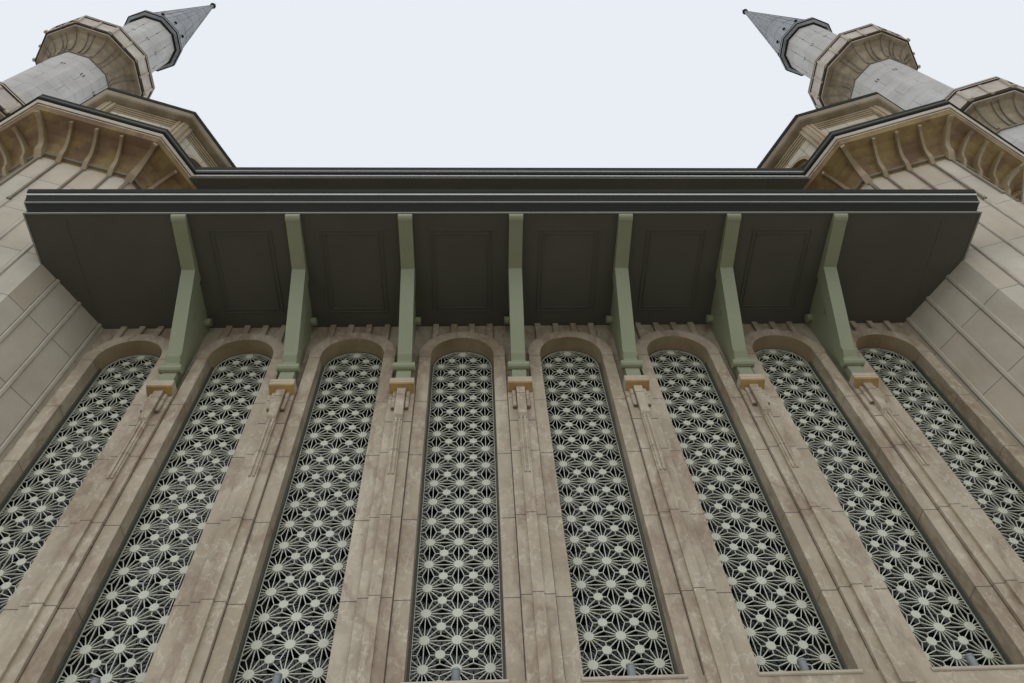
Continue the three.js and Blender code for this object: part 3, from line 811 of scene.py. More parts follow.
def in_rows(piece: Piece, count: int, step: Point) -> Piece:
    """Repeats a piece in a row with an array modifier, applied.

    Args:
        piece: the piece.
        count: how many in the row.
        step: from one to the next.

    Returns:
        The same piece.
    """
    activate(piece)
    row = piece.modifiers.new("row", "ARRAY")
    row.count = count
    row.use_relative_offset = False
    row.use_constant_offset = True
    row.constant_offset_displace = step
    bpy.ops.object.modifier_apply(modifier=row.name)
    return piece


def copied(piece: Piece, place: Matrix) -> Piece:
    """A copy with its own mesh, moved by a matrix."""
    twin = piece.copy()
    twin.data = piece.data.copy()
    bpy.context.scene.collection.objects.link(twin)
    return shifted(twin, place)


def shifted(piece: Piece, place: Matrix) -> Piece:
    """The same piece, its mesh moved by a matrix."""
    piece.data.transform(place)
    return piece


def discard(*patterns: Piece) -> None:
    """Removes patterns that have been copied."""
    for pattern in patterns:
        bpy.data.objects.remove(pattern)


def copies(pattern: Piece, places: Iterable[Matrix]) -> Piece:
    """Copies of a pattern at every place, joined; the pattern stays."""
    return gather([copied(pattern, place) for place in places])


def moved_to(pattern: Piece, places: Iterable[Matrix]) -> Piece:
    """The same, with the pattern removed."""
    piece = copies(pattern, places)
    discard(pattern)
    return piece


def complete(piece: Piece, name: str, finish: Finish, smooth: Optional[float] = None) -> None:
    """Names a finished piece, gives it its finish and fixes it to the building.

    Args:
        piece: the piece.
        name: its name.
        finish: its material, and a slot name that is not used.
        smooth: faces that meet at less than this many degrees shade as one.
    """
    piece.name = name
    piece.data.name = name
    piece.data.materials.clear()
    piece.data.materials.append(finish.material)
    if smooth:
        activate(piece)
        bpy.ops.object.shade_smooth_by_angle(angle=math.radians(smooth))
    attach(piece, BODY)
    LOG.info("%s: %d faces", name, len(piece.data.polygons))


@dataclass(frozen=True)
class Polygon:
    """A regular outline about the upright axis, with one face to the front."""

    sides: int

    @property
    def flat(self) -> float:
        """Distance to the middle of a face, for a distance of 1 to its corners."""
        return math.cos(math.pi / self.sides)

    @property
    def corner_turn(self) -> Matrix:
        """Turns what is drawn at a face's middle to a corner."""
        return about_axis(math.pi / self.sides)

    def ring(self, profile: Outline, radius: float = 0.0, level: float = 0.0) -> Piece:
        """A ring, its section measured outwards from a radius to the corners and upwards from a level."""
        section = [(radius + out, level + up) for out, up in profile]
        return turned(section, self.sides, 180 / self.sides - 90)

    def flat_ring(self, profile: Outline, radius: float = 0.0, level: float = 0.0) -> Piece:
        """The same, with distances to the middle of the faces."""
        stretch = 1 / self.flat
        return self.ring([((radius + out) * stretch, level + up) for out, up in profile])

    def hoop(self, edge: float, thick: float, heights: Pair) -> Piece:
        """An upright strip round the outline, its outer side so far from the axis."""
        low, high = heights
        return self.flat_ring([(-thick, low), (0, low), (0, high), (-thick, high)], edge)

    def on_faces(self, pieces: Sequence[Piece]) -> Piece:
        """Repeats what is drawn on the front face on every face."""
        return around(gather(pieces), self.sides)

    def on_corners(self, piece: Piece) -> Piece:
        """Repeats what is drawn straight in front of the axis at every corner."""
        return around(shifted(piece, self.corner_turn), self.sides)

    def mitred(self, pieces: Sequence[Piece]) -> Piece:
        """Cuts the pieces of the front face at its two mitres and repeats them on every face."""
        face = gather(pieces)
        half = math.pi / self.sides
        for _, way in WAYS:
            cut_away(face, (0, 0, 0), (way * math.cos(half), math.sin(half), 0))
        return around(face, self.sides)


SQUARE = Polygon(4)
OCTAGON = Polygon(8)
DECAGON = Polygon(10)


@dataclass(frozen=True)
class Hall:
    """Sizes of the prayer hall that several sub-assemblies share, in metres of the model."""

    half: float = 4.905  # from the hall's middle to the front face of the window frames
    bay: float = 0.9
    bays: int = 8
    window_half: float = 0.257
    frame_half: float = 0.355
    sill: float = 3.137
    spring: float = 6.118
    wall: float = 0.057  # depth of the plain wall behind the frames
    soffit: float = 6.659
    canopy_top: float = 6.96
    cornice_foot: float = 8.89
    cornice_top: float = 9.054

    @property
    def windows(self) -> list[float]:
        """Centre lines of the tall windows."""
        return [(k - (self.bays - 1) / 2) * self.bay for k in range(self.bays)]

    @property
    def pilasters(self) -> list[float]:
        """Centre lines of the pilasters between them."""
        return [x + self.bay / 2 for x in self.windows[:-1]]

    def out(self, depth: float) -> float:
        """Place on the y axis of what lies so deep behind the frames' front face."""
        return depth - self.half

    def between(self, front: float, back: float) -> Pair:
        """Front and back on the y axis of what lies between two such depths."""
        return (self.out(front), self.out(back))

    def section(self, corners: Outline) -> Outline:
        """A section given by depth and height, moved to its place on the y axis."""
        return [(self.out(depth), height) for depth, height in corners]


@dataclass(frozen=True)
class Arch:
    """An arched opening about x = 0."""

    half: float
    sill: float
    spring: float
    steps: int = 16  # flat pieces of the arch

    def band(self, inner: float, outer: float, depths: Pair) -> Piece:
        """A frame round the opening: up one side, over the arch, down the other.

        Args:
            inner: how far outside the opening's edge it starts.
            outer: how far outside that edge it ends.
            depths: its front and back.

        Returns:
            The new piece.
        """
        near, far, foot, rise = self.half + inner, self.half + outer, self.sill, self.spring - self.sill
        front, back = depths
        corners = [(-far, front, foot), (-near, front, foot), (-near, back, foot), (-far, back, foot)]
        with drawn(corners) as piece:
            bpy.ops.mesh.edge_face_add()
            extrude((0, 0, rise))
            centre = (0, front, self.spring)
            bpy.ops.mesh.spin(steps=self.steps, angle=math.pi, center=centre, axis=(0, -1, 0))
            extrude((0, 0, -rise))
        return piece


@dataclass
class Lattice:
    """Star lattice in an arched opening: cut from plate, with large and small bosses."""

    arch: Arch
    front: float  # its front face on the y axis
    first_row: float  # height of a row of large bosses below the sill
    thickness: float = 0.008
    pitch: float = 0.179
    row: float = 0.1772
    bar: float = 0.0047
    large_boss: float = 0.0303
    small_boss: float = 0.028
    boss_sides: int = 12
    notch: float = 0.2  # how deep a star's points reach between two bosses
    strip: float = 0.013  # dark strip at the stone
    strip_proud: float = 0.034  # how far its sides stand in front of the lattice
    border: float = 0.004
    star: bool = True

    def bar_between(self, start: Pair, end: Pair) -> Piece:
        """A bar between two points of the lattice's plane."""
        run_x, run_z = end[0] - start[0], end[1] - start[1]
        far = (math.hypot(run_x, run_z), self.front + self.thickness, self.bar / 2)
        strut = block((0, self.front, -self.bar / 2), far)
        turn = Matrix.Rotation(-math.atan2(run_z, run_x), 4, "Y")
        return shifted(strut, Matrix.Translation((start[0], 0, start[1])) @ turn)

    def boss(self, place: Pair, radius: float) -> Piece:
        """A round boss, its face gently domed."""
        clear_selection()
        depth = self.thickness + 0.004
        bpy.ops.mesh.primitive_cylinder_add(
            vertices=self.boss_sides,
            radius=radius,
            depth=depth,
            location=(place[0], self.front + depth / 2 - 0.003, place[1]),
            rotation=(math.pi / 2, 0, 0),
        )
        piece = settle(bpy.context.active_object)
        with edit_mode(piece):
            choose_faces(piece, (0, -1, 0))
            bpy.ops.mesh.inset(thickness=radius * 0.16, depth=0.0015)
        return piece

    def cell(self) -> Piece:
        """One square of the lattice, with the large boss at its lower left corner."""
        wide, high, notch = self.pitch, self.row, self.notch
        corners = [(0.0, 0.0), (wide, 0.0), (wide, high), (0.0, high)]
        middle_point = (wide / 2, high / 2)
        runs = [(corners[0], corners[1]), (corners[0], corners[3])]
        runs += [(middle_point, corner) for corner in corners]
        if self.star:
            points = [(wide / 2, high * notch), (wide * (1 - notch), high / 2)]
            points += [(wide / 2, high * (1 - notch)), (wide * notch, high / 2)]
            runs += [(middle_point, point) for point in points]
            for index, point in enumerate(points):
                runs += [(corners[index], point), (point, corners[(index + 1) % 4])]
        pieces = [self.bar_between(start, end) for start, end in runs]
        pieces.append(self.boss(corners[0], self.large_boss))
        pieces.append(self.boss(middle_point, self.small_boss))
        return gather(pieces)

    def build(self) -> Piece:
        """The lattice of one opening with its border bar, about x = 0."""
        arch = self.arch
        reach = arch.half - self.strip - self.border / 2
        columns = math.ceil(reach / self.pitch)
        rows = math.ceil((arch.spring + arch.half - self.first_row) / self.row)
        sheet = in_rows(self.cell(), 2 * columns, (self.pitch, 0, 0))
        sheet = in_rows(sheet, rows, (0, 0, self.row))
        shifted(sheet, Matrix.Translation((-columns * self.pitch, 0, self.first_row)))
        cut_away(sheet, (0, 0, arch.sill), (0, 0, -1))
        for _, way in WAYS:
            cut_away(sheet, (way * reach, 0, 0), (way, 0, 0))
        flats = 12
        for index in range(flats):
            angle = math.pi * (index + 0.5) / flats
            outward = (math.cos(angle), 0, math.sin(angle))
            cut_away(sheet, (outward[0] * reach, 0, arch.spring + outward[2] * reach), outward)
        depths = (self.front - 0.002, self.front + self.thickness)
        return gather([sheet, arch.band(-self.strip - self.border, -self.strip, depths)])

    def dark_strip(self) -> Piece:
        """Painted steel between the lattice and the stone, deeper along the sides, about x = 0."""
        arch = self.arch
        back = self.front + self.thickness + 0.004
        inner, outer = arch.half - self.strip - 0.0004, arch.half - 0.0006
        head = arch.band(-self.strip, -0.0006, (self.front - 0.002, back))
        depths = (self.front - self.strip_proud, back)
        return gather([head, *mirrored(inner, outer, depths, (arch.sill, arch.spring))])


@dataclass
class TallWindows:
    """Lattices, dark strips, sills and lamps of the tall windows on the four sides."""

    hall: Hall
    palette: Palette
    lattice_depth: float = 0.137
    first_row: float = 3.128
    sill_rise: float = 0.009  # how far the thin sill stands above the opening's own
    sill_section: Outline = (
        # depth behind the frames' face, and height from the sill's top
        (0.150, 0.0), (-0.004, -0.002), (-0.010, -0.008), (-0.010, -0.020), (-0.004, -0.026),
        (0.004, -0.026), (0.004, -0.012), (0.150, -0.012),
    )
    lamp_profile: Outline = (
        # foot plate, stem, housing, and the lens sunk in its rim
        (0.001, 0), (0.030, 0), (0.030, 0.006), (0.012, 0.008), (0.012, 0.014), (0.020, 0.018),
        (0.022, 0.024), (0.022, 0.078), (0.024, 0.080), (0.024, 0.090), (0.020, 0.090), (0.018, 0.084),
        (0.001, 0.084),
    )
    lamp_sides: int = 16
    lamp_depth: float = 0.045

    def sill(self) -> Piece:
        """A thin stone sill with a rounded nose, about x = 0."""
        top = self.hall.sill + self.sill_rise
        section = self.hall.section([(depth, top + up) for depth, up in self.sill_section])
        return cut_out(section, self.hall.window_half + 0.012)

    def head_lining(self) -> Piece:
        """The stained stone inside an arch's head, a hair proud of the opening, about x = 0."""
        hall = self.hall
        head = Arch(hall.window_half, hall.spring - 0.02, hall.spring)
        return head.band(-0.0014, -0.0003, hall.between(0.002, self.lattice_depth - 0.004))

    def lamp(self) -> Piece:
        """A small floodlight on a foot plate, its lens at the top."""
        place = (0, self.hall.out(self.lamp_depth), self.hall.sill + self.sill_rise)
        return shifted(turned(self.lamp_profile, self.lamp_sides), Matrix.Translation(place))

    def build(self) -> None:
        """Builds one window's pieces and copies them to every window."""
        hall, palette = self.hall, self.palette
        arch = Arch(hall.window_half, hall.sill, hall.spring)
        lattice = Lattice(arch, hall.out(self.lattice_depth), self.first_row)
        sheet = lattice.build()
        patterns = [
            (lattice.dark_strip(), "window_strips", palette.bronze),
            (self.sill(), "window_sills", palette.sawn_stone),
            (self.head_lining(), "window_head_linings", palette.corbel),
        ]
        lamps = moved_to(self.lamp(), [across(x) for x in hall.windows])
        complete(lamps, "front_window_lamps", palette.casting, 40)
        for side in Side:
            places = [side.turn @ across(x) for x in hall.windows]
            name = side.name.lower()
            if side is Side.FRONT:
                for index, place in enumerate(places, 1):
                    complete(copied(sheet, place), f"front_lattice_{index}", palette.lattice)
            else:
                complete(copies(sheet, places), f"{name}_lattices", palette.lattice)
            for pattern, label, finish in patterns:
                complete(copies(pattern, places), f"{name}_{label}", finish)
        discard(sheet, *[pattern for pattern, _, _ in patterns])


@dataclass
class WallRelief:
    """Fine stonework of the hall walls: flutes over the arches, ridges, corbels and open joints."""

    hall: Hall
    palette: Palette
    flute_places: tuple[float, ...] = (-0.238, -0.079, 0.079, 0.238)
    flute_half: float = 0.026
    flute_front: float = 0.030
    ridge_places: tuple[float, ...] = (-0.0135, 0.0135)
    ridge_half: float = 0.0075
    ridge_front: float = -0.056
    ridge_heights: Pair = (4.62, 5.215)
    pendant_heights: Pair = (5.345, 5.5455)
    # foot of the dark blocks painted as the pendants' shadow
    pendant_shadow_foot: float = 5.336
    corbel_half: float = 0.0935
    corbel_bands: tuple[Pair, ...] = ((5.583, 5.607), (5.612, 5.6455))
    corbel_underside: Outline = (
        # depth and height, along the stone and back below it
        (0.05, 5.544), (-0.0305, 5.544), (-0.0955, 5.5705), (-0.1003, 5.5805), (-0.1003, 5.5835),
        (-0.090, 5.576), (-0.0295, 5.548), (0.05, 5.548),
    )
    level_joint: Pair = (5.196, 5.202)

    def flutes(self, spans: Sequence[Pair]) -> list[Piece]:
        """The flutes over one arch, each from the arch upwards within the spans."""
        hall = self.hall
        depths = hall.between(self.flute_front, hall.wall + 0.01)
        pieces = []
        for place in self.flute_places:
            arch_top = hall.spring + math.sqrt(hall.frame_half**2 - place**2) - 0.012
            for low, high in spans:
                pieces.append(bar(place, self.flute_half, depths, (max(low, arch_top), high), 0.004))
        return pieces

    def ridges(self) -> list[Piece]:
        """Two upright ridges on a pilaster."""
        depths, heights = self.hall.between(self.ridge_front, -0.04), self.ridge_heights
        return [bar(place, self.ridge_half, depths, heights, 0.002) for place in self.ridge_places]

    def pendants(self) -> list[Piece]:
        """A hanging bar on each side of the tongue, under the corbel."""
        return mirrored(0.036, 0.064, self.hall.between(-0.048, -0.02), self.pendant_heights, 0.004)

    def pendant_shadow_feet(self) -> list[Piece]:
        """The pendants' rounded feet, painted dark as the shadow below them."""
        heights = (self.pendant_shadow_foot, self.pendant_heights[0])
        return mirrored(0.033, 0.066, self.hall.between(-0.050, -0.024), heights, 0.004)

    def corbel_lips(self) -> list[Piece]:
        """Two pale bands round a corbel's head with an open joint between them."""
        depths = self.hall.between(-0.1005, 0.05)
        return [bar(0, self.corbel_half, depths, heights, 0.002) for heights in self.corbel_bands]

    def corbel_soffit(self) -> Piece:
        """The stone under a corbel, painted golden as the warm light reflected up onto it."""
        return cut_out(self.hall.section(self.corbel_underside), self.corbel_half - 0.001)

    def open_joint_shadows(self) -> list[Piece]:
        """Dark strips along both sides of a pilaster and across it under the tongue, painted as the shadow
        in open joints.
        """
        hall = self.hall
        edge = hall.bay / 2 - hall.frame_half
        depths = hall.between(-0.0012, 0.005)
        upright = mirrored(edge + 0.0005, edge + 0.0055, depths, (hall.sill, hall.spring))
        level = mirrored(0.033, edge - 0.001, hall.between(-0.0262, -0.02), self.level_joint)
        return [*upright, *level, bar(0, 0.031, hall.between(-0.0482, -0.04), self.level_joint)]

    def build(self) -> None:
        """Builds the relief of each side."""
        hall, palette = self.hall, self.palette
        head = hall.cornice_foot + 0.03
        for side in Side:
            name = side.name.lower()
            spans = [(0.0, hall.soffit), (hall.canopy_top, head)] if side is Side.FRONT else [(0.0, head)]
            windows = [side.turn @ across(x) for x in hall.windows]
            pilasters = [side.turn @ across(x) for x in hall.pilasters]
            flutes = moved_to(gather(self.flutes(spans)), windows)
            relief = moved_to(gather([*self.ridges(), *self.pendants()]), pilasters)
            complete(gather([flutes, relief]), f"{name}_wall_relief", palette.marble)
            for pieces, label, finish in (
                (self.corbel_lips(), "corbel_lips", palette.pale_marble),
                # the corbels' undersides: painted reflected light
                ([self.corbel_soffit()], "corbel_soffits", palette.painted_reflected_light_stone),
                # painted shadow under the pendants
                (self.pendant_shadow_feet(), "pendant_shadow_feet", palette.strip_stone),
                # painted shadow in the open joints
                (self.open_joint_shadows(), "open_joint_shadows", palette.joint),
            ):
                complete(moved_to(gather(pieces), pilasters), f"{name}_{label}", finish)


@dataclass
class CanopyTrim:
    """Panels on the canopy's soffit, the black flashing of its edge and the edge's lips, painted bright as
    highlights.
    """

    hall: Hall
    palette: Palette
    panel_half: float = 0.253
    panel_depths: Pair = (-0.875, -0.095)
    inner_line: float = 0.033  # from the outer frame of a panel to its inner one
    line: float = 0.010
    proud: float = 0.008
    seams: tuple[float, ...] = (-3.6, 3.6)
    half: float = 3.909
    reach: float = 1.023
    edge: Outline = (
        # how far out from the frames, and the height
        (1.0245, 6.664), (1.0145, 6.704), (1.0675, 6.793), (1.0755, 6.838), (1.0885, 6.891),
        (1.0995, 6.919), (1.1055, 6.962),
    )
    # the lips are painted highlights of the sky on the edge's upright faces
    lips: tuple[Point, ...] = ((1.028, 6.648, 6.660), (1.067, 6.775, 6.789))  # how far out, foot, head
    bright_lip: Point = (1.0915, 6.876, 6.899)
    lip_width: float = 0.012
    tower_side: float = -0.50  # how deep the ends run, to inside the towers' walls
    nose_half: float = 0.0575
    nose: Outline = (
        # depth, and height from the underside of the canopy, round the end of a bracket's arm
        (-0.965, 0.0), (-1.011, 0.0), (-1.018, -0.009), (-1.018, -0.022), (-1.011, -0.036),
        (-0.998, -0.045), (-0.980, -0.050), (-0.965, -0.051),
    )

    def frame(self, inset: float) -> list[Piece]:
        """A rectangle of thin strips under the soffit, about x = 0."""
        hall, edge = self.hall, self.line
        half = self.panel_half - inset
        front, back = hall.between(self.panel_depths[0] + inset, self.panel_depths[1] - inset)
        low, high = hall.soffit - self.proud, hall.soffit + 0.004
        ends = [(front, front + edge), (back - edge, back)]
        strips = [bar(0, half, depths, (low, high), 0.002) for depths in ends]
        return strips + mirrored(half - edge, half, (front + edge, back - edge), (low, high), 0.002)

    def layer(self, lower: Pair, upper: Pair) -> Piece:
        """One layer of the flashing, which widens from the lower to the upper point of the edge."""
        front, back = self.hall.between(-lower[0], 0.05)
        side = self.half + lower[0] - self.reach
        piece = bar(0, side, (front, back), (lower[1], upper[1]))
        growth = upper[0] - lower[0]
        with edit_mode(piece):
            choose_faces(piece, (0, 0, 1))
            bpy.ops.transform.resize(value=(1 + growth / side, 1 + growth / (back - front), 1))
            bpy.ops.transform.translate(value=(0, -growth / 2, 0))
        return piece

    def lip(self, reach: float, low: float, high: float) -> list[Piece]:
        """A strip along the canopy's front and back along its ends to the towers, painted light as a
        highlight.
        """
        front, back = self.hall.between(-reach, self.tower_side)
        side, wide = self.half + reach - self.reach, self.lip_width
        along = bar(0, side, (front, front + wide), (low, high), 0.0015)
        return [along, *mirrored(side - wide, side, (front + wide, back), (low, high), 0.0015)]

    def build(self) -> None:
        """Builds the panels, the flashing, the painted highlight lips and the ends of the brackets."""
        hall, palette = self.hall, self.palette
        panels = gather(self.frame(0) + self.frame(self.inner_line))
        panels = moved_to(panels, [across(x) for x in hall.windows[1:-1]])
        depths, heights = hall.between(0.05 - self.reach, 0.05), (hall.soffit - 0.003, hall.soffit + 0.004)
        seams = [bar(x, 0.003, depths, heights, 0.001) for x in self.seams]
        complete(gather([panels, *seams]), "canopy_soffit_panels", palette.bronze)
        layers = [self.layer(low, high) for low, high in zip(self.edge, self.edge[1:])]
        complete(gather(layers), "canopy_flashing", palette.black)
        # painted highlights: light lips on the dark edge
        lips = [strip for lip in self.lips for strip in self.lip(*lip)]
        complete(gather(lips), "canopy_highlight_lips", palette.lip)
        complete(gather(self.lip(*self.bright_lip)), "canopy_bright_highlight_lip", palette.bright_lip)
        top = hall.soffit - 0.001
        nose = cut_out(hall.section([(depth, top + up) for depth, up in self.nose]), self.nose_half)
        complete(moved_to(nose, [across(x) for x in hall.pilasters]), "bracket_noses", palette.sage)


@dataclass(frozen=True)
class Cove:
    """A hollow quarter curve from a wall's head out to an edge, in radius and height."""

    foot: Pair
    edge: Pair
    fin_steps: int = 7
    sunk: float = 0.012  # how deep a fin goes into the stone
    thinning: float = 0.55  # how much of its stand-off a fin loses up the whole quarter

    def point(self, degrees: float, off: float, stretch: float = 1.0) -> Pair:
        """A point of the curve, moved off it.

        Args:
            degrees: how far along the quarter, 0 at the foot.
            off: distance from the curve, outwards and down.
            stretch: scale of the radius, for a corner.

        Returns:
            Its radius and height.
        """
        angle = math.radians(degrees)
        reach, rise = self.edge[0] - self.foot[0], self.edge[1] - self.foot[1]
        tangent = Vector((reach * math.sin(angle), rise * math.cos(angle))).normalized()
        radius = self.edge[0] - reach * math.cos(angle)
        height = self.foot[1] + rise * math.sin(angle)
        return (radius * stretch + tangent.y * off, height - tangent.x * off)

    def fin(self, width: float, off: float, end: float, foot: float, stretch: float = 1.0) -> Piece:
        """A fin that follows the curve in front of the axis, slimmer upwards, with a square head.

        Args:
            width: its thickness at the foot, half of that at the head.
            off: how far it stands off the curve.
            end: where it ends, in degrees along the quarter.
            foot: height of its foot.
            stretch: scale of the radius, for a corner.

        Returns:
            The new piece.
        """
        turns = [end * i / self.fin_steps for i in range(self.fin_steps + 1)]
        inner = [self.point(turn, -self.sunk, stretch) for turn in turns]
        outer = [self.point(turn, off * (1 - self.thinning * (turn / 90) ** 3), stretch) for turn in turns]
        start = self.foot[0] * stretch
        toe = ((start + off * 0.8, foot + 0.02), (start - self.sunk, foot - 0.06))
        section = [toe[1], *inner, *reversed(outer), toe[0]]
        fin = cut_out([(-r, z) for r, z in section], width / 2)
        slim = width / 4  # what each side loses up to the head
        lean = slim / (self.point(end, 0, stretch)[1] - foot)
        for _, way in WAYS:
            cut_away(fin, (way * width / 2, 0, foot), (way, 0, lean))
        head_turns = (end - 7, end + 2)
        low = [self.point(turn, -0.01, stretch) for turn in head_turns]
        high = [self.point(turn, off * 0.55 + 0.012, stretch) for turn in reversed(head_turns)]
        head = cut_out([(-r, z) for r, z in (*low, *high)], (width / 2 + 0.006) / 2)
        return gather([fin, head])


@dataclass(frozen=True)
class TowerAxis:
    """Where a corner tower stands and how it is turned."""

    name: str
    side: int  # -1 left, 1 right
    rear: bool
    across: float = 4.619
    angle: float = 17.0

    @property
    def place(self) -> Matrix:
        """Moves a piece from the upright axis to the tower."""
        back = 1 if self.rear else -1
        place = Matrix.Translation((self.side * self.across, back * self.across, 0))
        return place @ about_axis(math.radians(self.angle * self.side * back))


TOWERS = [
    TowerAxis(f"{'rear' if rear else 'front'}_{name}", way, rear)
    for rear in (False, True)
    for name, way in WAYS
]


@dataclass
class CornerTowers:
    """Trim of the octagonal towers: plinth, wall strips and ribs, crown fins, edges, turrets."""

    palette: Palette
    wall: float = 1.035  # to the middle of a face
    crown: float = 1.493
    crown_top: float = 9.054
    cove: Cove = Cove((1.055, 8.632), (1.405, 8.862))
    fin_places: tuple[float, ...] = (-0.245, 0.0, 0.245)
    fin_off: float = 0.072
    fin_foot: float = 8.572
    strip_heights: Pair = (7.57, 8.575)
    strip_foot: Pair = (7.545, 7.59)
    rib_spans: tuple[Pair, ...] = ((0.495, 2.945), (3.045, 7.55))
    tier: float = 1.07
    tier_foot: float = 9.15
    tier_arch: Arch = Arch(0.190, 9.30, 9.80)
    tier_eave: float = 1.226
    eave_top: float = 10.494
    # sections are given by how far out and how high each corner is
    foot_moulding: Outline = (
        (-0.02, 8.594), (0.036, 8.598), (0.044, 8.612), (0.040, 8.628), (0.030, 8.638), (-0.02, 8.640),
    )
    base: Outline = (
        (-0.03, 0), (0.07, 0), (0.07, 0.40), (0.055, 0.43), (0.03, 0.46), (0.02, 0.50), (-0.03, 0.50),
    )
    string: Outline = ((-0.02, 2.94), (0.03, 2.95), (0.05, 2.98), (0.05, 3.01), (0.02, 3.05), (-0.02, 3.05))
    bleached_strip: Outline = ((-0.0385, 8.9145), (-0.017, 8.931), (-0.017, 8.940), (-0.0385, 8.924))
    bead: Outline = ((-0.0575, 8.902), (-0.0525, 8.9045), (-0.0525, 8.914), (-0.0575, 8.910))
    roof_slope: Outline = (
        (1.203, 10.519), (1.014, 10.627), (0.706, 11.252), (0.336, 11.470), (0.002, 11.512),
    )

    def crown_fins(self) -> Piece:
        """Three fins on each face and a thicker one at each corner."""
        off, foot = self.fin_off, self.fin_foot
        fins = [shifted(self.cove.fin(0.044, off, 84, foot), across(place)) for place in self.fin_places]
        thick = self.cove.fin(0.072, off, 86, foot, 1 / OCTAGON.flat)
        return gather([OCTAGON.on_faces(fins), OCTAGON.on_corners(thick)])

    def wall_strips(self) -> Piece:
        """Slim strips on the wall under the crown's fins."""
        front, strips = -self.wall, []
        for place in self.fin_places:
            strips.append(bar(place, 0.010, (front - 0.020, front + 0.01), self.strip_heights, 0.003))
            strips.append(bar(place, 0.016, (front - 0.026, front + 0.01), self.strip_foot, 0.004))
        edge = front / OCTAGON.flat
        corner = bar(0, 0.016, (edge - 0.016, edge + 0.03), self.strip_heights, 0.004)
        return gather([OCTAGON.on_faces(strips), OCTAGON.on_corners(corner)])

    def wall_ribs(self) -> Piece:
        """Flat ribs down the wall beside the upright joints, from the strips' feet to the plinth."""
        depths = (-self.wall - 0.013, -self.wall + 0.02)
        places = [(place, span) for place in self.fin_places for span in self.rib_spans]
        return OCTAGON.on_faces([bar(place, 0.018, depths, span, 0.008) for place, span in places])

    def wall_mouldings(self) -> Piece:
        """The tower's plinth and the string course at the height of the wings."""
        return gather([OCTAGON.flat_ring(section, self.wall) for section in (self.base, self.string)])

    def crown_flashing(self) -> Piece:
        """Dark metal along the crown's top edge and a second dark strip under it."""
        edge, top = self.crown + 0.004, self.crown_top
        cap = [(-0.137, -0.004), (-0.137, 0.012), (0, 0.006)]
        cap += [(0, -0.036), (-0.010, -0.036), (-0.010, -0.004)]
        low = [(-0.020, 8.936), (0, 8.951), (0, 8.982), (-0.012, 8.982), (-0.012, 8.956), (-0.022, 8.944)]
        return gather([OCTAGON.flat_ring(cap, edge, top), OCTAGON.flat_ring(low, edge)])

    def edge_strips(self) -> Piece:
        """Greyer strips between the dark ones on the crown's and the turret's edges, painted as the sky's
        highlight on the flashing.
        """
        strips = ((self.crown, (8.984, 9.016)), (self.tier_eave, (10.460, 10.464)))
        return gather([OCTAGON.hoop(edge + 0.002, 0.01, heights) for edge, heights in strips])

    def crown_bands(self) -> Piece:
        """The bleached strip under the crown's flashing and a thin bead on the stained stone."""
        sections = (self.bleached_strip, self.bead)
        return gather([OCTAGON.flat_ring(section, self.crown) for section in sections])

    def turret_faces(self) -> Piece:
        """Arch frames, sills, mouldings and fluted corner pilasters of a turret."""
        front, foot, arch = -self.tier, self.tier_foot, self.tier_arch
        pieces = [
            arch.band(-0.002, 0.044, (front - 0.024, front + 0.03)),
            arch.band(-0.030, 0.0, (front + 0.045, front + 0.10)),
            bar(0, 0.25, (front - 0.040, front + 0.10), (9.262, 9.302), 0.006),
        ]
        for proud, low in ((0.010, 10.180), (0.018, 10.225), (0.026, 10.270), (0.034, 10.315)):
            pieces.append(bar(0, 0.36, (front - proud, front + 0.02), (low, low + 0.030), 0.005))
        pieces += mirrored(0.352, 0.49, (front - 0.030, front + 0.02), (foot, 10.372))
        pieces += mirrored(0.352, 0.49, (front - 0.050, front + 0.02), (foot, foot + 0.065), 0.006)
        for place in (-0.428, -0.376, 0.376, 0.428):
            pieces.append(bar(place, 0.017, (front - 0.044, front), (9.20, 10.366), 0.007))
        return OCTAGON.mitred(pieces)

    def turret_rings(self) -> Piece:
        """Foot moulding and the pale stone band under the eaves' flashing."""
        foot = [(-0.02, 9.0545), (0.055, 9.0545), (0.055, 9.09), (0.03, 9.12), (-0.02, 9.125)]
        band = [(-0.040, 10.4045), (-0.006, 10.4275), (-0.006, 10.434), (-0.046, 10.408)]
        return gather([OCTAGON.flat_ring(foot, self.tier), OCTAGON.flat_ring(band, self.tier_eave)])

    def turret_soffit(self) -> Piece:
        """The stone under the eaves, inside the pale band, darkened olive as painted shade."""
        inner, outer = self.tier - 0.005, self.tier_eave - 0.0405
        face = [(inner, 10.3715), (outer - 0.0185, 10.3915), (outer, 10.404)]
        return OCTAGON.flat_ring([*face, (outer, 10.410), (outer - 0.0205, 10.397), (inner, 10.377)])

    def turret_flashing(self) -> Piece:
        """Dark metal along the eaves, in two steps."""
        cap = [(-0.070, 0.02), (-0.070, 0.042), (0, 0.008), (0, -0.028), (-0.010, -0.028), (-0.010, 0)]
        low = [(-0.008, -0.066), (0, -0.059), (0, -0.036), (-0.012, -0.036), (-0.012, -0.058)]
        edge = self.tier_eave + 0.004
        return gather([OCTAGON.flat_ring(section, edge, self.eave_top) for section in (cap, low)])

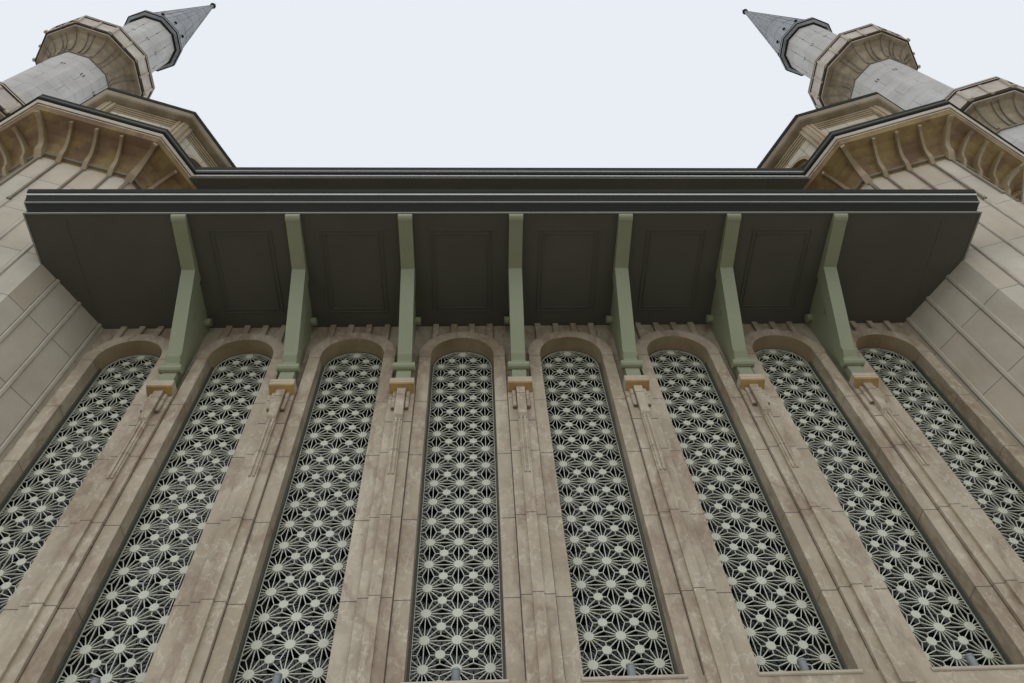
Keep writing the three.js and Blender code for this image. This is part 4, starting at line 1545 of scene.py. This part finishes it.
    def turret_roof(self) -> Piece:
        """Lead on the turret's roof, with a roll on each hip and two on each slope."""
        slope = self.roof_slope
        pieces = [OCTAGON.flat_ring([*slope, *[(r, z - 0.03) for r, z in reversed(slope)]])]
        hip = 1 / OCTAGON.flat
        rolls = ((-0.16, 1.0, slope[:3]), (0.16, 1.0, slope[:3]), (0.0, hip, slope[:4]))
        for place, stretch, line in rolls:
            top = [(-r * stretch, z + 0.018) for r, z in line]
            low = [(0.01 - r * stretch, z - 0.012) for r, z in reversed(line)]
            roll = cut_out([*top, *low], 0.011, place)
            pieces.append(OCTAGON.on_corners(roll) if stretch == hip else OCTAGON.on_faces([roll]))
        return gather(pieces)

    def build(self) -> None:
        """Builds each piece once and copies it to the four towers."""
        palette = self.palette
        for pattern, name, finish in (
            (self.crown_fins(), "crown_fins", palette.corbel),
            (self.wall_strips(), "tower_wall_strips", palette.strip_stone),
            (self.wall_ribs(), "tower_wall_ribs", palette.tower_stone),
            (OCTAGON.flat_ring(self.foot_moulding, self.wall), "crown_foot_ring", palette.strip_stone),
            (self.wall_mouldings(), "tower_mouldings", palette.sawn_stone),
            (self.crown_flashing(), "crown_flashing", palette.black),
            # the bronze strips are a painted highlight of the sky on the flashing
            (self.edge_strips(), "tower_edge_highlight_strips", palette.bronze),
            (self.crown_bands(), "crown_bands", palette.bleached_stone),
            # turret soffits: olive painted shade
            (self.turret_soffit(), "turret_soffits", palette.painted_shade_stone),
            (self.turret_faces(), "turret_pilasters", palette.corbel),
            (self.turret_rings(), "turret_mouldings", palette.sawn_stone),
            (self.turret_flashing(), "turret_flashing", palette.black),
            (self.turret_roof(), "turret_roof", palette.lead),
        ):
            for tower in TOWERS:
                complete(copied(pattern, tower.place), f"{tower.name}_{name}", finish)
            discard(pattern)


@dataclass(frozen=True)
class Balcony:
    """One balcony of a minaret: posts and coping, dark rails, and the hollow under its floor."""

    rim: float
    shaft: float  # radius of the shaft below it, to the corners
    parapet: float = 0.57
    cove_height: float = 0.70
    radius: float = 1.27
    foot_radius: float = 1.198  # to the foot of the corner posts
    floor_radius: float = 1.168
    rail_places: tuple[float, ...] = (-0.34, -0.045, 0.045, 0.34)
    coping: Outline = (
        (-0.12, -0.002), (-0.12, 0.014), (0, 0.010), (0, -0.036), (-0.01, -0.036), (-0.01, -0.002),
    )
    band: Outline = ((-0.03, -0.112), (-0.0075, -0.112), (0, -0.037), (-0.02, -0.037))
    rail: Outline = (
        (1.18, -0.062), (1.216, -0.060), (1.232, -0.030), (1.232, 0.010), (1.205, 0.022), (1.18, 0.022),
    )
    cove_foot: Outline = ((-0.02, -0.05), (0.028, -0.045), (0.03, -0.01), (-0.02, 0.01))

    @property
    def floor(self) -> float:
        """Height of its floor."""
        return self.rim - self.parapet

    @property
    def cove(self) -> Cove:
        """The hollow under its floor."""
        return Cove((self.shaft, self.floor - self.cove_height), (self.floor_radius, self.floor - 0.08))

    def post(self, reach: float, half: float, thick: float, foot_half: float, foot: Pair) -> Piece:
        """A leaning post of the parapet and its foot, straight in front of the axis.

        Args:
            reach: how far its foot stands from the axis.
            half: half its width.
            thick: how far it stands out.
            foot_half: half its foot's width.
            foot: the foot's front and back, from the reach.

        Returns:
            The new piece.
        """
        lean = Matrix.Rotation(math.atan2(0.042, self.parapet - 0.15), 4, "X")
        post = bar(0, half, (-thick, 0.02), (0, self.parapet - 0.12), 0.004)
        shifted(post, Matrix.Translation((0, -reach, self.floor - 0.03)) @ lean)
        heights = (self.floor - 0.055, self.floor + 0.030)
        return gather([post, bar(0, foot_half, (foot[0] - reach, foot[1] - reach), heights, 0.006)])

    def posts(self) -> Piece:
        """Posts and coping of the parapet."""
        middle = self.post(self.foot_radius * DECAGON.flat, 0.026, 0.028, 0.030, (-0.062, 0.02))
        corner = self.post(self.foot_radius, 0.030, 0.030, 0.036, (-0.074, 0.018))
        coping = DECAGON.ring(self.coping, self.radius + 0.005, self.rim)
        return gather([DECAGON.on_faces([middle]), DECAGON.on_corners(corner), coping])

    def fins(self) -> Piece:
        """The fins under the floor and the moulding at their feet."""
        cove, turn = self.cove, math.radians(3.4)
        fins = [
            shifted(cove.fin(0.032, 0.050, 80, cove.foot[1], DECAGON.flat), about_axis(way * turn))
            for _, way in WAYS
        ]
        corner = cove.fin(0.048, 0.050, 84, cove.foot[1])
        ring = DECAGON.ring(self.cove_foot, *cove.foot)
        return gather([DECAGON.on_faces(fins), DECAGON.on_corners(corner), ring])

    def lining(self) -> Piece:
        """The stone of the hollow, darkened olive as painted shade."""
        steps = 5
        turns = [90 * i / steps for i in range(steps + 1)]
        face = [self.cove.point(turn, 0.004) for turn in turns]
        back = [self.cove.point(turn, -0.004) for turn in reversed(turns)]
        return DECAGON.ring([*face, *back])

    def dark_rails(self) -> Piece:
        """The dark bands under the coping and at the parapet's foot, and the slots beside its posts, all
        painted umber as shadow.
        """
        band = DECAGON.ring(self.band, self.radius + 0.003, self.rim)
        rail = DECAGON.ring(self.rail, 0.0, self.floor)
        face = -1.24 * DECAGON.flat
        slots = []
        for place in self.rail_places:
            for height, back in ((self.rim - 0.150, face + 0.008), (self.floor + 0.034, face + 0.034)):
                slots.append(bar(place, 0.012, (back - 0.006, back + 0.02), (height, height + 0.03)))
        return gather([band, rail, DECAGON.on_faces(slots)])


@dataclass
class Minarets:
    """Trim of the ten-sided minarets, from the plinth to the ball on the spire."""

    palette: Palette
    across: float = 9.44
    back: float = -3.775
    pedestal: float = 1.2  # radii to the corners
    lower: float = 0.79
    middle: float = 0.72
    upper: float = 0.652
    rims: Pair = (15.23, 20.59)  # heights of the two balconies
    cap: float = 24.09
    cap_radius: float = 0.815
    top: float = 30.59
    panel_heights: Pair = (0.72, 3.28)
    panel_half: float = 0.235
    # sections are given by how far out and how high each corner is
    plinth: Outline = ((-0.04, 0), (0.07, 0), (0.07, 0.42), (0.05, 0.46), (0.02, 0.52), (-0.04, 0.52))
    cornice: Outline = (
        (-0.04, 3.50), (0.02, 3.52), (0.03, 3.56), (0.07, 3.62), (0.075, 3.68), (0.03, 3.72),
        (-0.04, 3.76),
    )
    collar: Outline = ((-0.03, 4.46), (0.085, 4.47), (0.09, 4.52), (0.05, 4.55), (0.03, 4.60), (-0.03, 4.61))
    slit_heights: tuple[Pair, ...] = ((0.72, 18.44), (0.652, 22.56))  # radius of the shaft, and foot
    seam_laps: tuple[float, ...] = (25.4, 26.5, 27.6, 28.7)

    def base(self) -> Piece:
        """Plinth, framed panels, and the mouldings of the pedestal and the taper."""
        face = -self.pedestal * DECAGON.flat
        depths = (face - 0.016, face + 0.01)
        frame = frame_of_bars(0, self.panel_half, depths, self.panel_heights, 0.035, 0.004)
        rings = [DECAGON.ring(section, self.pedestal) for section in (self.plinth, self.cornice)]
        return gather([*rings, DECAGON.ring(self.collar, self.lower), DECAGON.on_faces(frame)])

    def slits(self) -> Piece:
        """Paired slits and the open joints between the facing slabs of the upper shafts."""
        pieces = []
        for radius, foot in self.slit_heights:
            face = -radius * DECAGON.flat
            for place in (-0.028, 0.028):
                pieces.append(bar(place, 0.009, (face - 0.002, face + 0.03), (foot, foot + 0.13)))
        face = -self.upper * DECAGON.flat
        for heights in ((20.72, 22.5), (22.75, 23.84)):
            pieces.append(bar(0, 0.003, (face - 0.001, face + 0.02), heights))
        pieces.append(bar(0, 0.014, (face - 0.002, face + 0.02), (23.30, 23.36)))
        return DECAGON.on_faces(pieces)

    def cap_ring(self) -> Piece:
        """The dark mouldings under the cap, and its edge."""
        collar = [(-0.01, -0.075), (0.045, -0.072), (0.060, -0.050), (-0.01, -0.045)]
        drip = [(-0.045, -0.014), (0, -0.010), (0, 0.01), (-0.045, 0.01)]
        edge = [(-0.06, 0.108), (-0.06, 0.124), (0.002, 0.118)]
        edge += [(0.002, 0.076), (-0.01, 0.076), (-0.01, 0.108)]
        rings = [DECAGON.ring(section, self.cap_radius, self.cap) for section in (drip, edge)]
        return gather([DECAGON.ring(collar, self.upper, self.cap), *rings])

    def cap_soffit(self) -> Piece:
        """The boards under the cap, between its dark mouldings, greyed as painted shade."""
        inner, outer = self.upper + 0.04, self.cap_radius - 0.046
        section = [(inner, -0.008), (outer, -0.008), (outer, 0.01), (inner, 0.01)]
        return DECAGON.ring(section, 0.0, self.cap)

    def cone_radius(self, height: float) -> float:
        """Radius of the lead cone to its corners at a height."""
        low, high = self.cap + 0.33, self.top - 0.56
        wide, narrow = 0.69, 0.045
        return wide + (narrow - wide) * (height - low) / (high - low)

    def cone_seams(self) -> Piece:
        """Standing seams on the corners and the faces of the cone, and its lapped joints."""
        low, high = self.cap + 0.34, self.top - 0.62
        pieces = []
        for stretch, end in ((1.0, high), (DECAGON.flat, high - 1.6)):
            foot, head = (-self.cone_radius(z) * stretch for z in (low, end))
            section = [(foot - 0.012, low), (head - 0.012, end), (head + 0.01, end), (foot + 0.01, low)]
            seam = cut_out(section, 0.006)
            pieces.append(DECAGON.on_corners(seam) if stretch == 1.0 else DECAGON.on_faces([seam]))
        for height in self.seam_laps:
            radius, above = self.cone_radius(height), self.cone_radius(height + 0.03)
            lap = [(radius - 0.01, 0), (radius + 0.006, 0), (above + 0.004, 0.03), (above - 0.01, 0.03)]
            pieces.append(DECAGON.ring(lap, 0.0, height))
        return gather(pieces)

    def vents(self) -> Piece:
        """Small hooded vents near the foot of the cone, and the ball at its tip."""
        foot = self.cap + 0.75
        face = -self.cone_radius(foot) * DECAGON.flat
        hood = [(face + 0.02, foot), (face - 0.055, foot)]
        hood += [(face - 0.050, foot + 0.05), (face + 0.03, foot + 0.12)]
        level, radius = self.top - 0.39, 0.098
        arc = [math.radians(a) for a in range(-85, 90, 17)]
        ball = [(0.002, level - radius)]
        ball += [(radius * math.cos(a), level + radius * math.sin(a)) for a in arc]
        ball += [(0.012, level + radius + 0.01), (0.010, self.top - 0.01), (0.002, self.top)]
        return gather([DECAGON.on_faces([cut_out(hood, 0.035)]), turned(ball, 20)])

    def build(self) -> None:
        """Builds each piece once and copies it to the two minarets."""
        palette = self.palette
        patterns = [(self.base(), "minaret_mouldings", palette.sawn_stone)]
        shafts = zip(("lower", "upper"), self.rims, (self.lower, self.middle))
        balconies = [(name, Balcony(rim, shaft)) for name, rim, shaft in shafts]
        for label, build, finish in (
            ("posts", Balcony.posts, palette.sawn_stone),
            # the fins are darkened as painted shade
            ("fins", Balcony.fins, palette.strip_stone),
            # balcony hollows: olive painted shade
            ("soffit", Balcony.lining, palette.painted_shade_stone),
            # dark rails: umber painted shadow
            ("dark_rails", Balcony.dark_rails, palette.umber),
        ):
            patterns += [(build(balcony), f"{name}_balcony_{label}", finish) for name, balcony in balconies]
        patterns += [
            (self.slits(), "minaret_slits", palette.black),
            (self.cap_ring(), "minaret_cap_ring", palette.black),
            # cap soffit: olive painted shade
            (self.cap_soffit(), "minaret_cap_soffit", palette.painted_shade_stone),
            (self.cone_seams(), "spire_seams", palette.lead),
            (self.vents(), "spire_vents", palette.black),
        ]
        for pattern, name, finish in patterns:
            for side, way in WAYS:
                place = Matrix.Translation((way * self.across, self.back, 0)) @ DECAGON.corner_turn
                complete(copied(pattern, place), f"{side}_{name}", finish)
            discard(pattern)


@dataclass
class Dome:
    """Lead covering of the dome and the stone trim of its drum."""

    palette: Palette
    drum: float = 4.15
    drum_foot: float = 9.0545
    drum_top: float = 10.75
    windows: int = 16
    window: Arch = Arch(0.23, 9.334, 10.05)
    radius: float = 4.082
    rise: float = 4.118
    seams: int = 48
    lap_turns: tuple[float, ...] = (14, 29, 44, 59, 74)
    round_steps: int = 96
    pilaster_foot: float = 9.20
    pilaster_head: float = 10.50

    def shell_point(self, degrees: float, off: float = 0.0) -> Pair:
        """A point of the dome's section, moved outwards by off."""
        angle = math.radians(degrees)
        radius, rise = self.radius + off, self.rise + off
        return (radius * math.cos(angle), self.drum_top + 0.004 + rise * math.sin(angle))

    def layer(self, turns: Sequence[float], inner: float, outer: float) -> Outline:
        """A layer of the dome's section between two distances from the shell."""
        outside = [self.shell_point(turn, outer) for turn in turns]
        return [*outside, *[self.shell_point(turn, inner) for turn in reversed(turns)]]

    def covering(self) -> Piece:
        """The lead shell."""
        return turned(self.layer([87 * i / 28 for i in range(29)], -0.03, 0.0), self.round_steps)

    def rolls(self) -> Piece:
        """Rolls that join the sheets, up the dome and round it."""
        section = self.layer([2 + 80 * i / 20 for i in range(21)], -0.01, 0.020)
        pieces = [around(cut_out([(-r, z) for r, z in section], 0.014), self.seams)]
        for turn in self.lap_turns:
            pieces.append(turned(self.layer([turn, turn + 0.35], -0.01, 0.008), self.round_steps))
        return gather(pieces)

    def drum_faces(self) -> Piece:
        """Window frames and pilasters of the drum."""
        arch, front, foot, head = self.window, -self.drum, self.pilaster_foot, self.pilaster_head
        frame = arch.band(-0.006, 0.062, (front - 0.035, front + 0.08))
        sill = bar(0, 0.32, (front - 0.060, front + 0.10), (arch.sill - 0.045, arch.sill), 0.008)
        window = shifted(gather([frame, sill]), about_axis(math.pi / self.windows))
        pilaster = [
            bar(0, 0.15, (front - 0.050, front + 0.03), (foot, head), 0.006),
            bar(0, 0.175, (front - 0.075, front + 0.03), (foot, foot + 0.10), 0.010),
            bar(0, 0.175, (front - 0.075, front + 0.03), (head - 0.08, head), 0.010),
        ]
        for place in (-0.09, 0.0, 0.09):
            pilaster.append(bar(place, 0.022, (front - 0.064, front), (foot + 0.10, head - 0.08), 0.008))
        return around(gather([window, *pilaster]), self.windows)

    def round_ring(self, profile: Outline, radius: float, level: float = 0.0) -> Piece:
        """A round ring, its section measured from a radius and a level."""
        return turned([(radius + out, level + up) for out, up in profile], self.round_steps)

    def drum_rings(self) -> Piece:
        """Foot and head mouldings of the drum."""
        foot = [(-0.06, self.drum_foot), (0.11, self.drum_foot), (0.11, 9.150)]
        foot += [(0.080, 9.175), (0.04, 9.20), (-0.06, 9.20)]
        frieze = [(-0.06, 10.50), (0.060, 10.50), (0.075, 10.535), (0.06, 10.56), (-0.06, 10.56)]
        return gather([self.round_ring(section, self.drum) for section in (foot, frieze)])

    def drum_edge(self) -> Piece:
        """Dark flashing along the drum's cornice."""
        cap = [(-0.255, -0.01), (-0.255, 0.012), (0, 0.008), (0, -0.05), (-0.012, -0.05), (-0.012, -0.01)]
        return self.round_ring(cap, self.drum + 0.155, self.drum_top)

    def drum_lattices(self) -> Piece:
        """Light lattices in the drum's windows."""
        lattice = Lattice(self.window, -self.drum + 0.13, self.window.sill - 0.08, star=False)
        return around(shifted(lattice.build(), about_axis(math.pi / self.windows)), self.windows)

    def build(self) -> None:
        """Builds the dome's and the drum's pieces."""
        palette = self.palette
        complete(self.covering(), "dome_lead_sheets", palette.lead, 30)
        complete(self.rolls(), "dome_lead_rolls", palette.lead, 40)
        complete(self.drum_faces(), "drum_window_frames", palette.sawn_stone, 40)
        complete(self.drum_rings(), "drum_mouldings", palette.sawn_stone, 40)
        complete(self.drum_edge(), "drum_flashing", palette.black, 40)
        complete(self.drum_lattices(), "drum_lattices", palette.lattice)


@dataclass
class HallRoof:
    """Battens of the flat roof round the drum, and the cornice's edge strips, the pale ones painted
    highlights.
    """

    hall: Hall
    palette: Palette
    reach: float = 0.546
    drum: float = 4.27
    spacing: float = 0.5
    battens: int = 11
    # each strip: how far out from the cornice's edge, and its foot and head
    dark_strips: tuple[tuple[float, Pair], ...] = ((0.003, (9.012, 9.058)), (-0.026, (8.950, 8.972)))
    # the pale strips are painted highlights between the dark ones
    pale_strips: tuple[tuple[float, Pair], ...] = ((-0.010, (8.978, 9.006)), (-0.042, (8.915, 8.942)))

    def battens_of_side(self) -> Piece:
        """Battens from the drum to the front edge."""
        top, edge = self.hall.cornice_top, self.hall.half + self.reach
        pieces = []
        for index in range(self.battens):
            place = (index - (self.battens - 1) / 2) * self.spacing
            start = -math.sqrt(self.drum**2 - place**2) - 0.02
            pieces.append(bar(place, 0.018, (0.09 - edge, start), (top - 0.004, top + 0.030), 0.006))
        return gather(pieces)

    def edge_strips(self, strips: Sequence[tuple[float, Pair]]) -> Piece:
        """Folded strips along the cornice's edge."""
        edge = self.hall.half + self.reach
        return gather([SQUARE.hoop(edge + proud, 0.03, heights) for proud, heights in strips])

    def build(self) -> None:
        """Builds the roof's pieces on the four sides."""
        palette = self.palette
        battens = moved_to(self.battens_of_side(), [side.turn for side in Side])
        complete(battens, "hall_roof_battens", palette.lead)
        complete(self.edge_strips(self.dark_strips), "cornice_flashing", palette.black)
        # pale strips: painted highlights
        complete(self.edge_strips(self.pale_strips), "cornice_highlight_strips", palette.bright_lip)


@dataclass
class Wings:
    """Window frames, lattices, copings and roofing of the two low wings."""

    palette: Palette
    outer: float = 9.5
    front: float = 4.205
    top: float = 2.95
    hall_side: float = 4.86
    coping_start: float = 5.2
    # how proud each band is, its foot and its head
    bands: tuple[Point, ...] = ((0.05, 0.0, 0.42), (0.03, 2.60, 2.65), (0.06, 2.90, 2.99))
    window: Arch = Arch(0.257, 0.70, 1.95)
    end_windows: tuple[float, ...] = (6.19, 6.99, 7.79)
    side_windows: tuple[float, ...] = (-1.35, -0.45, 0.45, 1.35, 2.25, 3.15)
    rolls: int = 15
    roll_spacing: float = 0.55

    def places(self, way: int) -> list[Matrix]:
        """Where the windows of one wing are.

        Args:
            way: -1 for the left wing, 1 for the right one.

        Returns:
            Matrices that move an opening drawn at the origin, facing the front.
        """
        outward = Side.RIGHT.turn if way > 0 else Side.LEFT.turn
        ends = [(x, Matrix.Translation((0, -self.front, 0))) for x in self.end_windows]
        found = [across(way * x) @ place for x, place in ends]
        found += [Side.REAR.turn @ across(-way * x) @ place for x, place in ends]
        return found + [outward @ Matrix.Translation((way * y, -self.outer, 0)) for y in self.side_windows]

    def opening(self) -> Piece:
        """Stone frame and sill of one window."""
        arch = self.window
        bands = [arch.band(-0.008, 0.07, (-0.028, 0.06)), arch.band(0.062, 0.092, (-0.042, 0.02))]
        return gather([*bands, bar(0, 0.37, (-0.060, 0.15), (arch.sill - 0.050, arch.sill), 0.008)])

    def coping(self, way: int) -> Piece:
        """Plinth, string and coping along the outside of one wing."""
        out, front = self.outer, self.front
        pieces = []
        for proud, low, high in self.bands:
            low_x, high_x = sorted((way * self.coping_start, way * (out + proud)))
            near, far = sorted((way * (out - 0.05), way * (out + proud)))
            for left, right, start, end in (
                (low_x, high_x, -front - proud, 0.05 - front),
                (low_x, high_x, front - 0.05, front + proud),
                (near, far, 0.05 - front, front - 0.05),
            ):
                pieces.append(block((left, start, low), (right, end, high), 0.008))
        return gather(pieces)

    def roofing(self, way: int) -> Piece:
        """Lead sheets and rolls on a wing's roof, inside the coping."""
        low_x, high_x = sorted((way * self.hall_side, way * (self.outer - 0.05)))
        front, top = self.front - 0.05, self.top
        pieces = [block((low_x, -front, top - 0.01), (high_x, front, top + 0.012), 0.004)]
        for index in range(self.rolls):
            place = (index - self.rolls // 2) * self.roll_spacing
            pieces.append(block((low_x, place - 0.016, top), (high_x, place + 0.016, top + 0.036), 0.006))
        return gather(pieces)

    def build(self) -> None:
        """Builds one window and copies it, then the long pieces of each wing."""
        palette = self.palette
        sheet = Lattice(self.window, 0.13, self.window.sill - 0.1, star=False)
        patterns = [
            (self.opening(), "frames", palette.sawn_stone),
            (sheet.build(), "lattices", palette.lattice),
            (sheet.dark_strip(), "strips", palette.bronze),
        ]
        for name, way in WAYS:
            places = self.places(way)
            for pattern, label, finish in patterns:
                complete(copies(pattern, places), f"{name}_wing_{label}", finish)
            complete(self.coping(way), f"{name}_wing_mouldings", palette.sawn_stone)
            complete(self.roofing(way), f"{name}_wing_roofing", palette.lead)
        discard(*[pattern for pattern, _, _ in patterns])


@dataclass
class Portal:
    """Mouldings of the entrance, the door's furniture and the hall's plinth."""

    hall: Hall
    palette: Palette
    half: float = 0.56
    top: float = 2.15
    surround: float = 0.16
    foot: float = 0.1504
    bands: tuple[Point, ...] = ((0.015, 0.025, 0.012), (0.065, 0.018, 0.009), (0.110, 0.030, 0.016))
    door_depth: float = 0.139
    panel_half: float = 0.19
    panel_height: float = 0.8
    panel_rise: float = 0.95  # from one row of panels to the next
    panel_line: float = 0.016
    pull_heights: Pair = (0.85, 1.45)
    plinth_end: float = 4.3
    plinth_top: float = 0.44

    def mouldings(self) -> Piece:
        """Stepped bands round the doorway and a small cornice over it."""
        hall, pieces = self.hall, []
        outer, head = self.half + self.surround, self.top + self.surround
        for inset, wide, proud in self.bands:
            near, far, level = self.half + inset, self.half + inset + wide, self.top + inset
            depths = hall.between(-0.060 - proud, -0.05)
            pieces += mirrored(near, far, depths, (self.foot, level), 0.003)
            pieces.append(bar(0, far, depths, (level, level + wide), 0.003))
        for reach, proud, low, high in ((0.03, 0.10, 0.0, 0.04), (0.07, 0.135, 0.04, 0.075)):
            heights = (head + low, head + high)
            pieces.append(bar(0, outer + reach, hall.between(-proud, 0.03), heights, 0.008))
        return gather(pieces)

    def furniture(self) -> Piece:
        """Meeting stile, frames of the door's panels and the pull bars."""
        face = self.hall.out(self.door_depth)
        pieces = [bar(0, 0.022, (face - 0.012, face + 0.01), (self.foot + 0.002, self.top - 0.004), 0.004)]
        for _, way in WAYS:
            for row in range(2):
                low = self.foot + 0.15 + row * self.panel_rise
                for inset, proud in ((0.0, 0.006), (0.05, -0.012)):
                    depths = (face - proud, face + 0.024)
                    heights = (low + inset, low + self.panel_height - inset)
                    half, place = self.panel_half - inset, way * self.half / 2
                    pieces += frame_of_bars(place, half, depths, heights, self.panel_line, 0.003)
        pieces += mirrored(0.058, 0.078, (face - 0.060, face - 0.040), self.pull_heights, 0.006)
        for height in (0.90, 1.38):
            pieces += mirrored(0.058, 0.078, (face - 0.050, face + 0.004), (height, height + 0.02), 0.004)
        return gather(pieces)

    def plinths(self) -> Piece:
        """Plinth stones along the front and the rear wall."""
        depths, heights = self.hall.between(-0.075, 0.02), (self.foot, self.plinth_top)
        front = mirrored(self.half + self.surround, self.plinth_end, depths, heights, 0.010)
        rear = shifted(bar(0, self.plinth_end, depths, heights, 0.010), Side.REAR.turn)
        return gather([*front, rear])

    def build(self) -> None:
        """Builds the entrance's pieces."""
        complete(self.mouldings(), "entrance_mouldings", self.palette.sawn_stone)
        complete(self.furniture(), "entrance_door_furniture", self.palette.bronze)
        complete(self.plinths(), "hall_plinths", self.palette.marble)


def middle(name: str) -> Vector:
    """The centre of a node's box, at floor level."""
    low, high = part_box(name)
    return Vector(((low.x + high.x) / 2, (low.y + high.y) / 2, 0))


def dress_solids(frame: Mapping[str, Any], palette: Palette) -> None:
    """Gives every carried-over node its finish.

    Args:
        palette: the building's finishes.
    """
    # the first rule that a node's name fits
    finishes = (
        ("window", palette.glass),
        ("_wall$|^floor_slab$", palette.marble.material),
        ("crown$", palette.brown_stone.material),
        ("balcony$", palette.parapet.material),
        ("^bracket", palette.sage.material),
        ("^(canopy|hall_roof|entrance_door)$", palette.bronze.material),
        ("^dome$|spire$", palette.lead.material),
        ("^dome_finial$", palette.gilt),
    )
    plain, claddings = palette.cladding("hall", Vector((0, 0, 0))), {}
    for name, node in frame["nodes"].items():
        material = next((finish for words, finish in finishes if re.search(words, name)), plain)
        if material is plain and re.search("tower$|turret$|minaret", name):
            key = "_".join(name.split("_")[:2])
            if key not in claddings:
                axis = f"{key}_shaft" if key.endswith("minaret") else f"{key}_tower"
                claddings[key] = palette.cladding(key, middle(axis))
            material = claddings[key]
        for slot in node.material_slots:
            slot.material = material
        LOG.info("%s: %s", name, material.name)


def main() -> None:
    """Builds the scene in order."""
    logging.basicConfig(level=logging.INFO)
    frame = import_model()
    Camera().build()
    Studio().build()
    palette = Palette()
    dress_solids(frame, palette)
    hall = Hall()
    TallWindows(hall, palette).build()
    WallRelief(hall, palette).build()
    CanopyTrim(hall, palette).build()
    CornerTowers(palette).build()
    Minarets(palette).build()
    Dome(palette).build()
    HallRoof(hall, palette).build()
    Wings(palette).build()
    Portal(hall, palette).build()


if __name__ == "__main__":
    main()
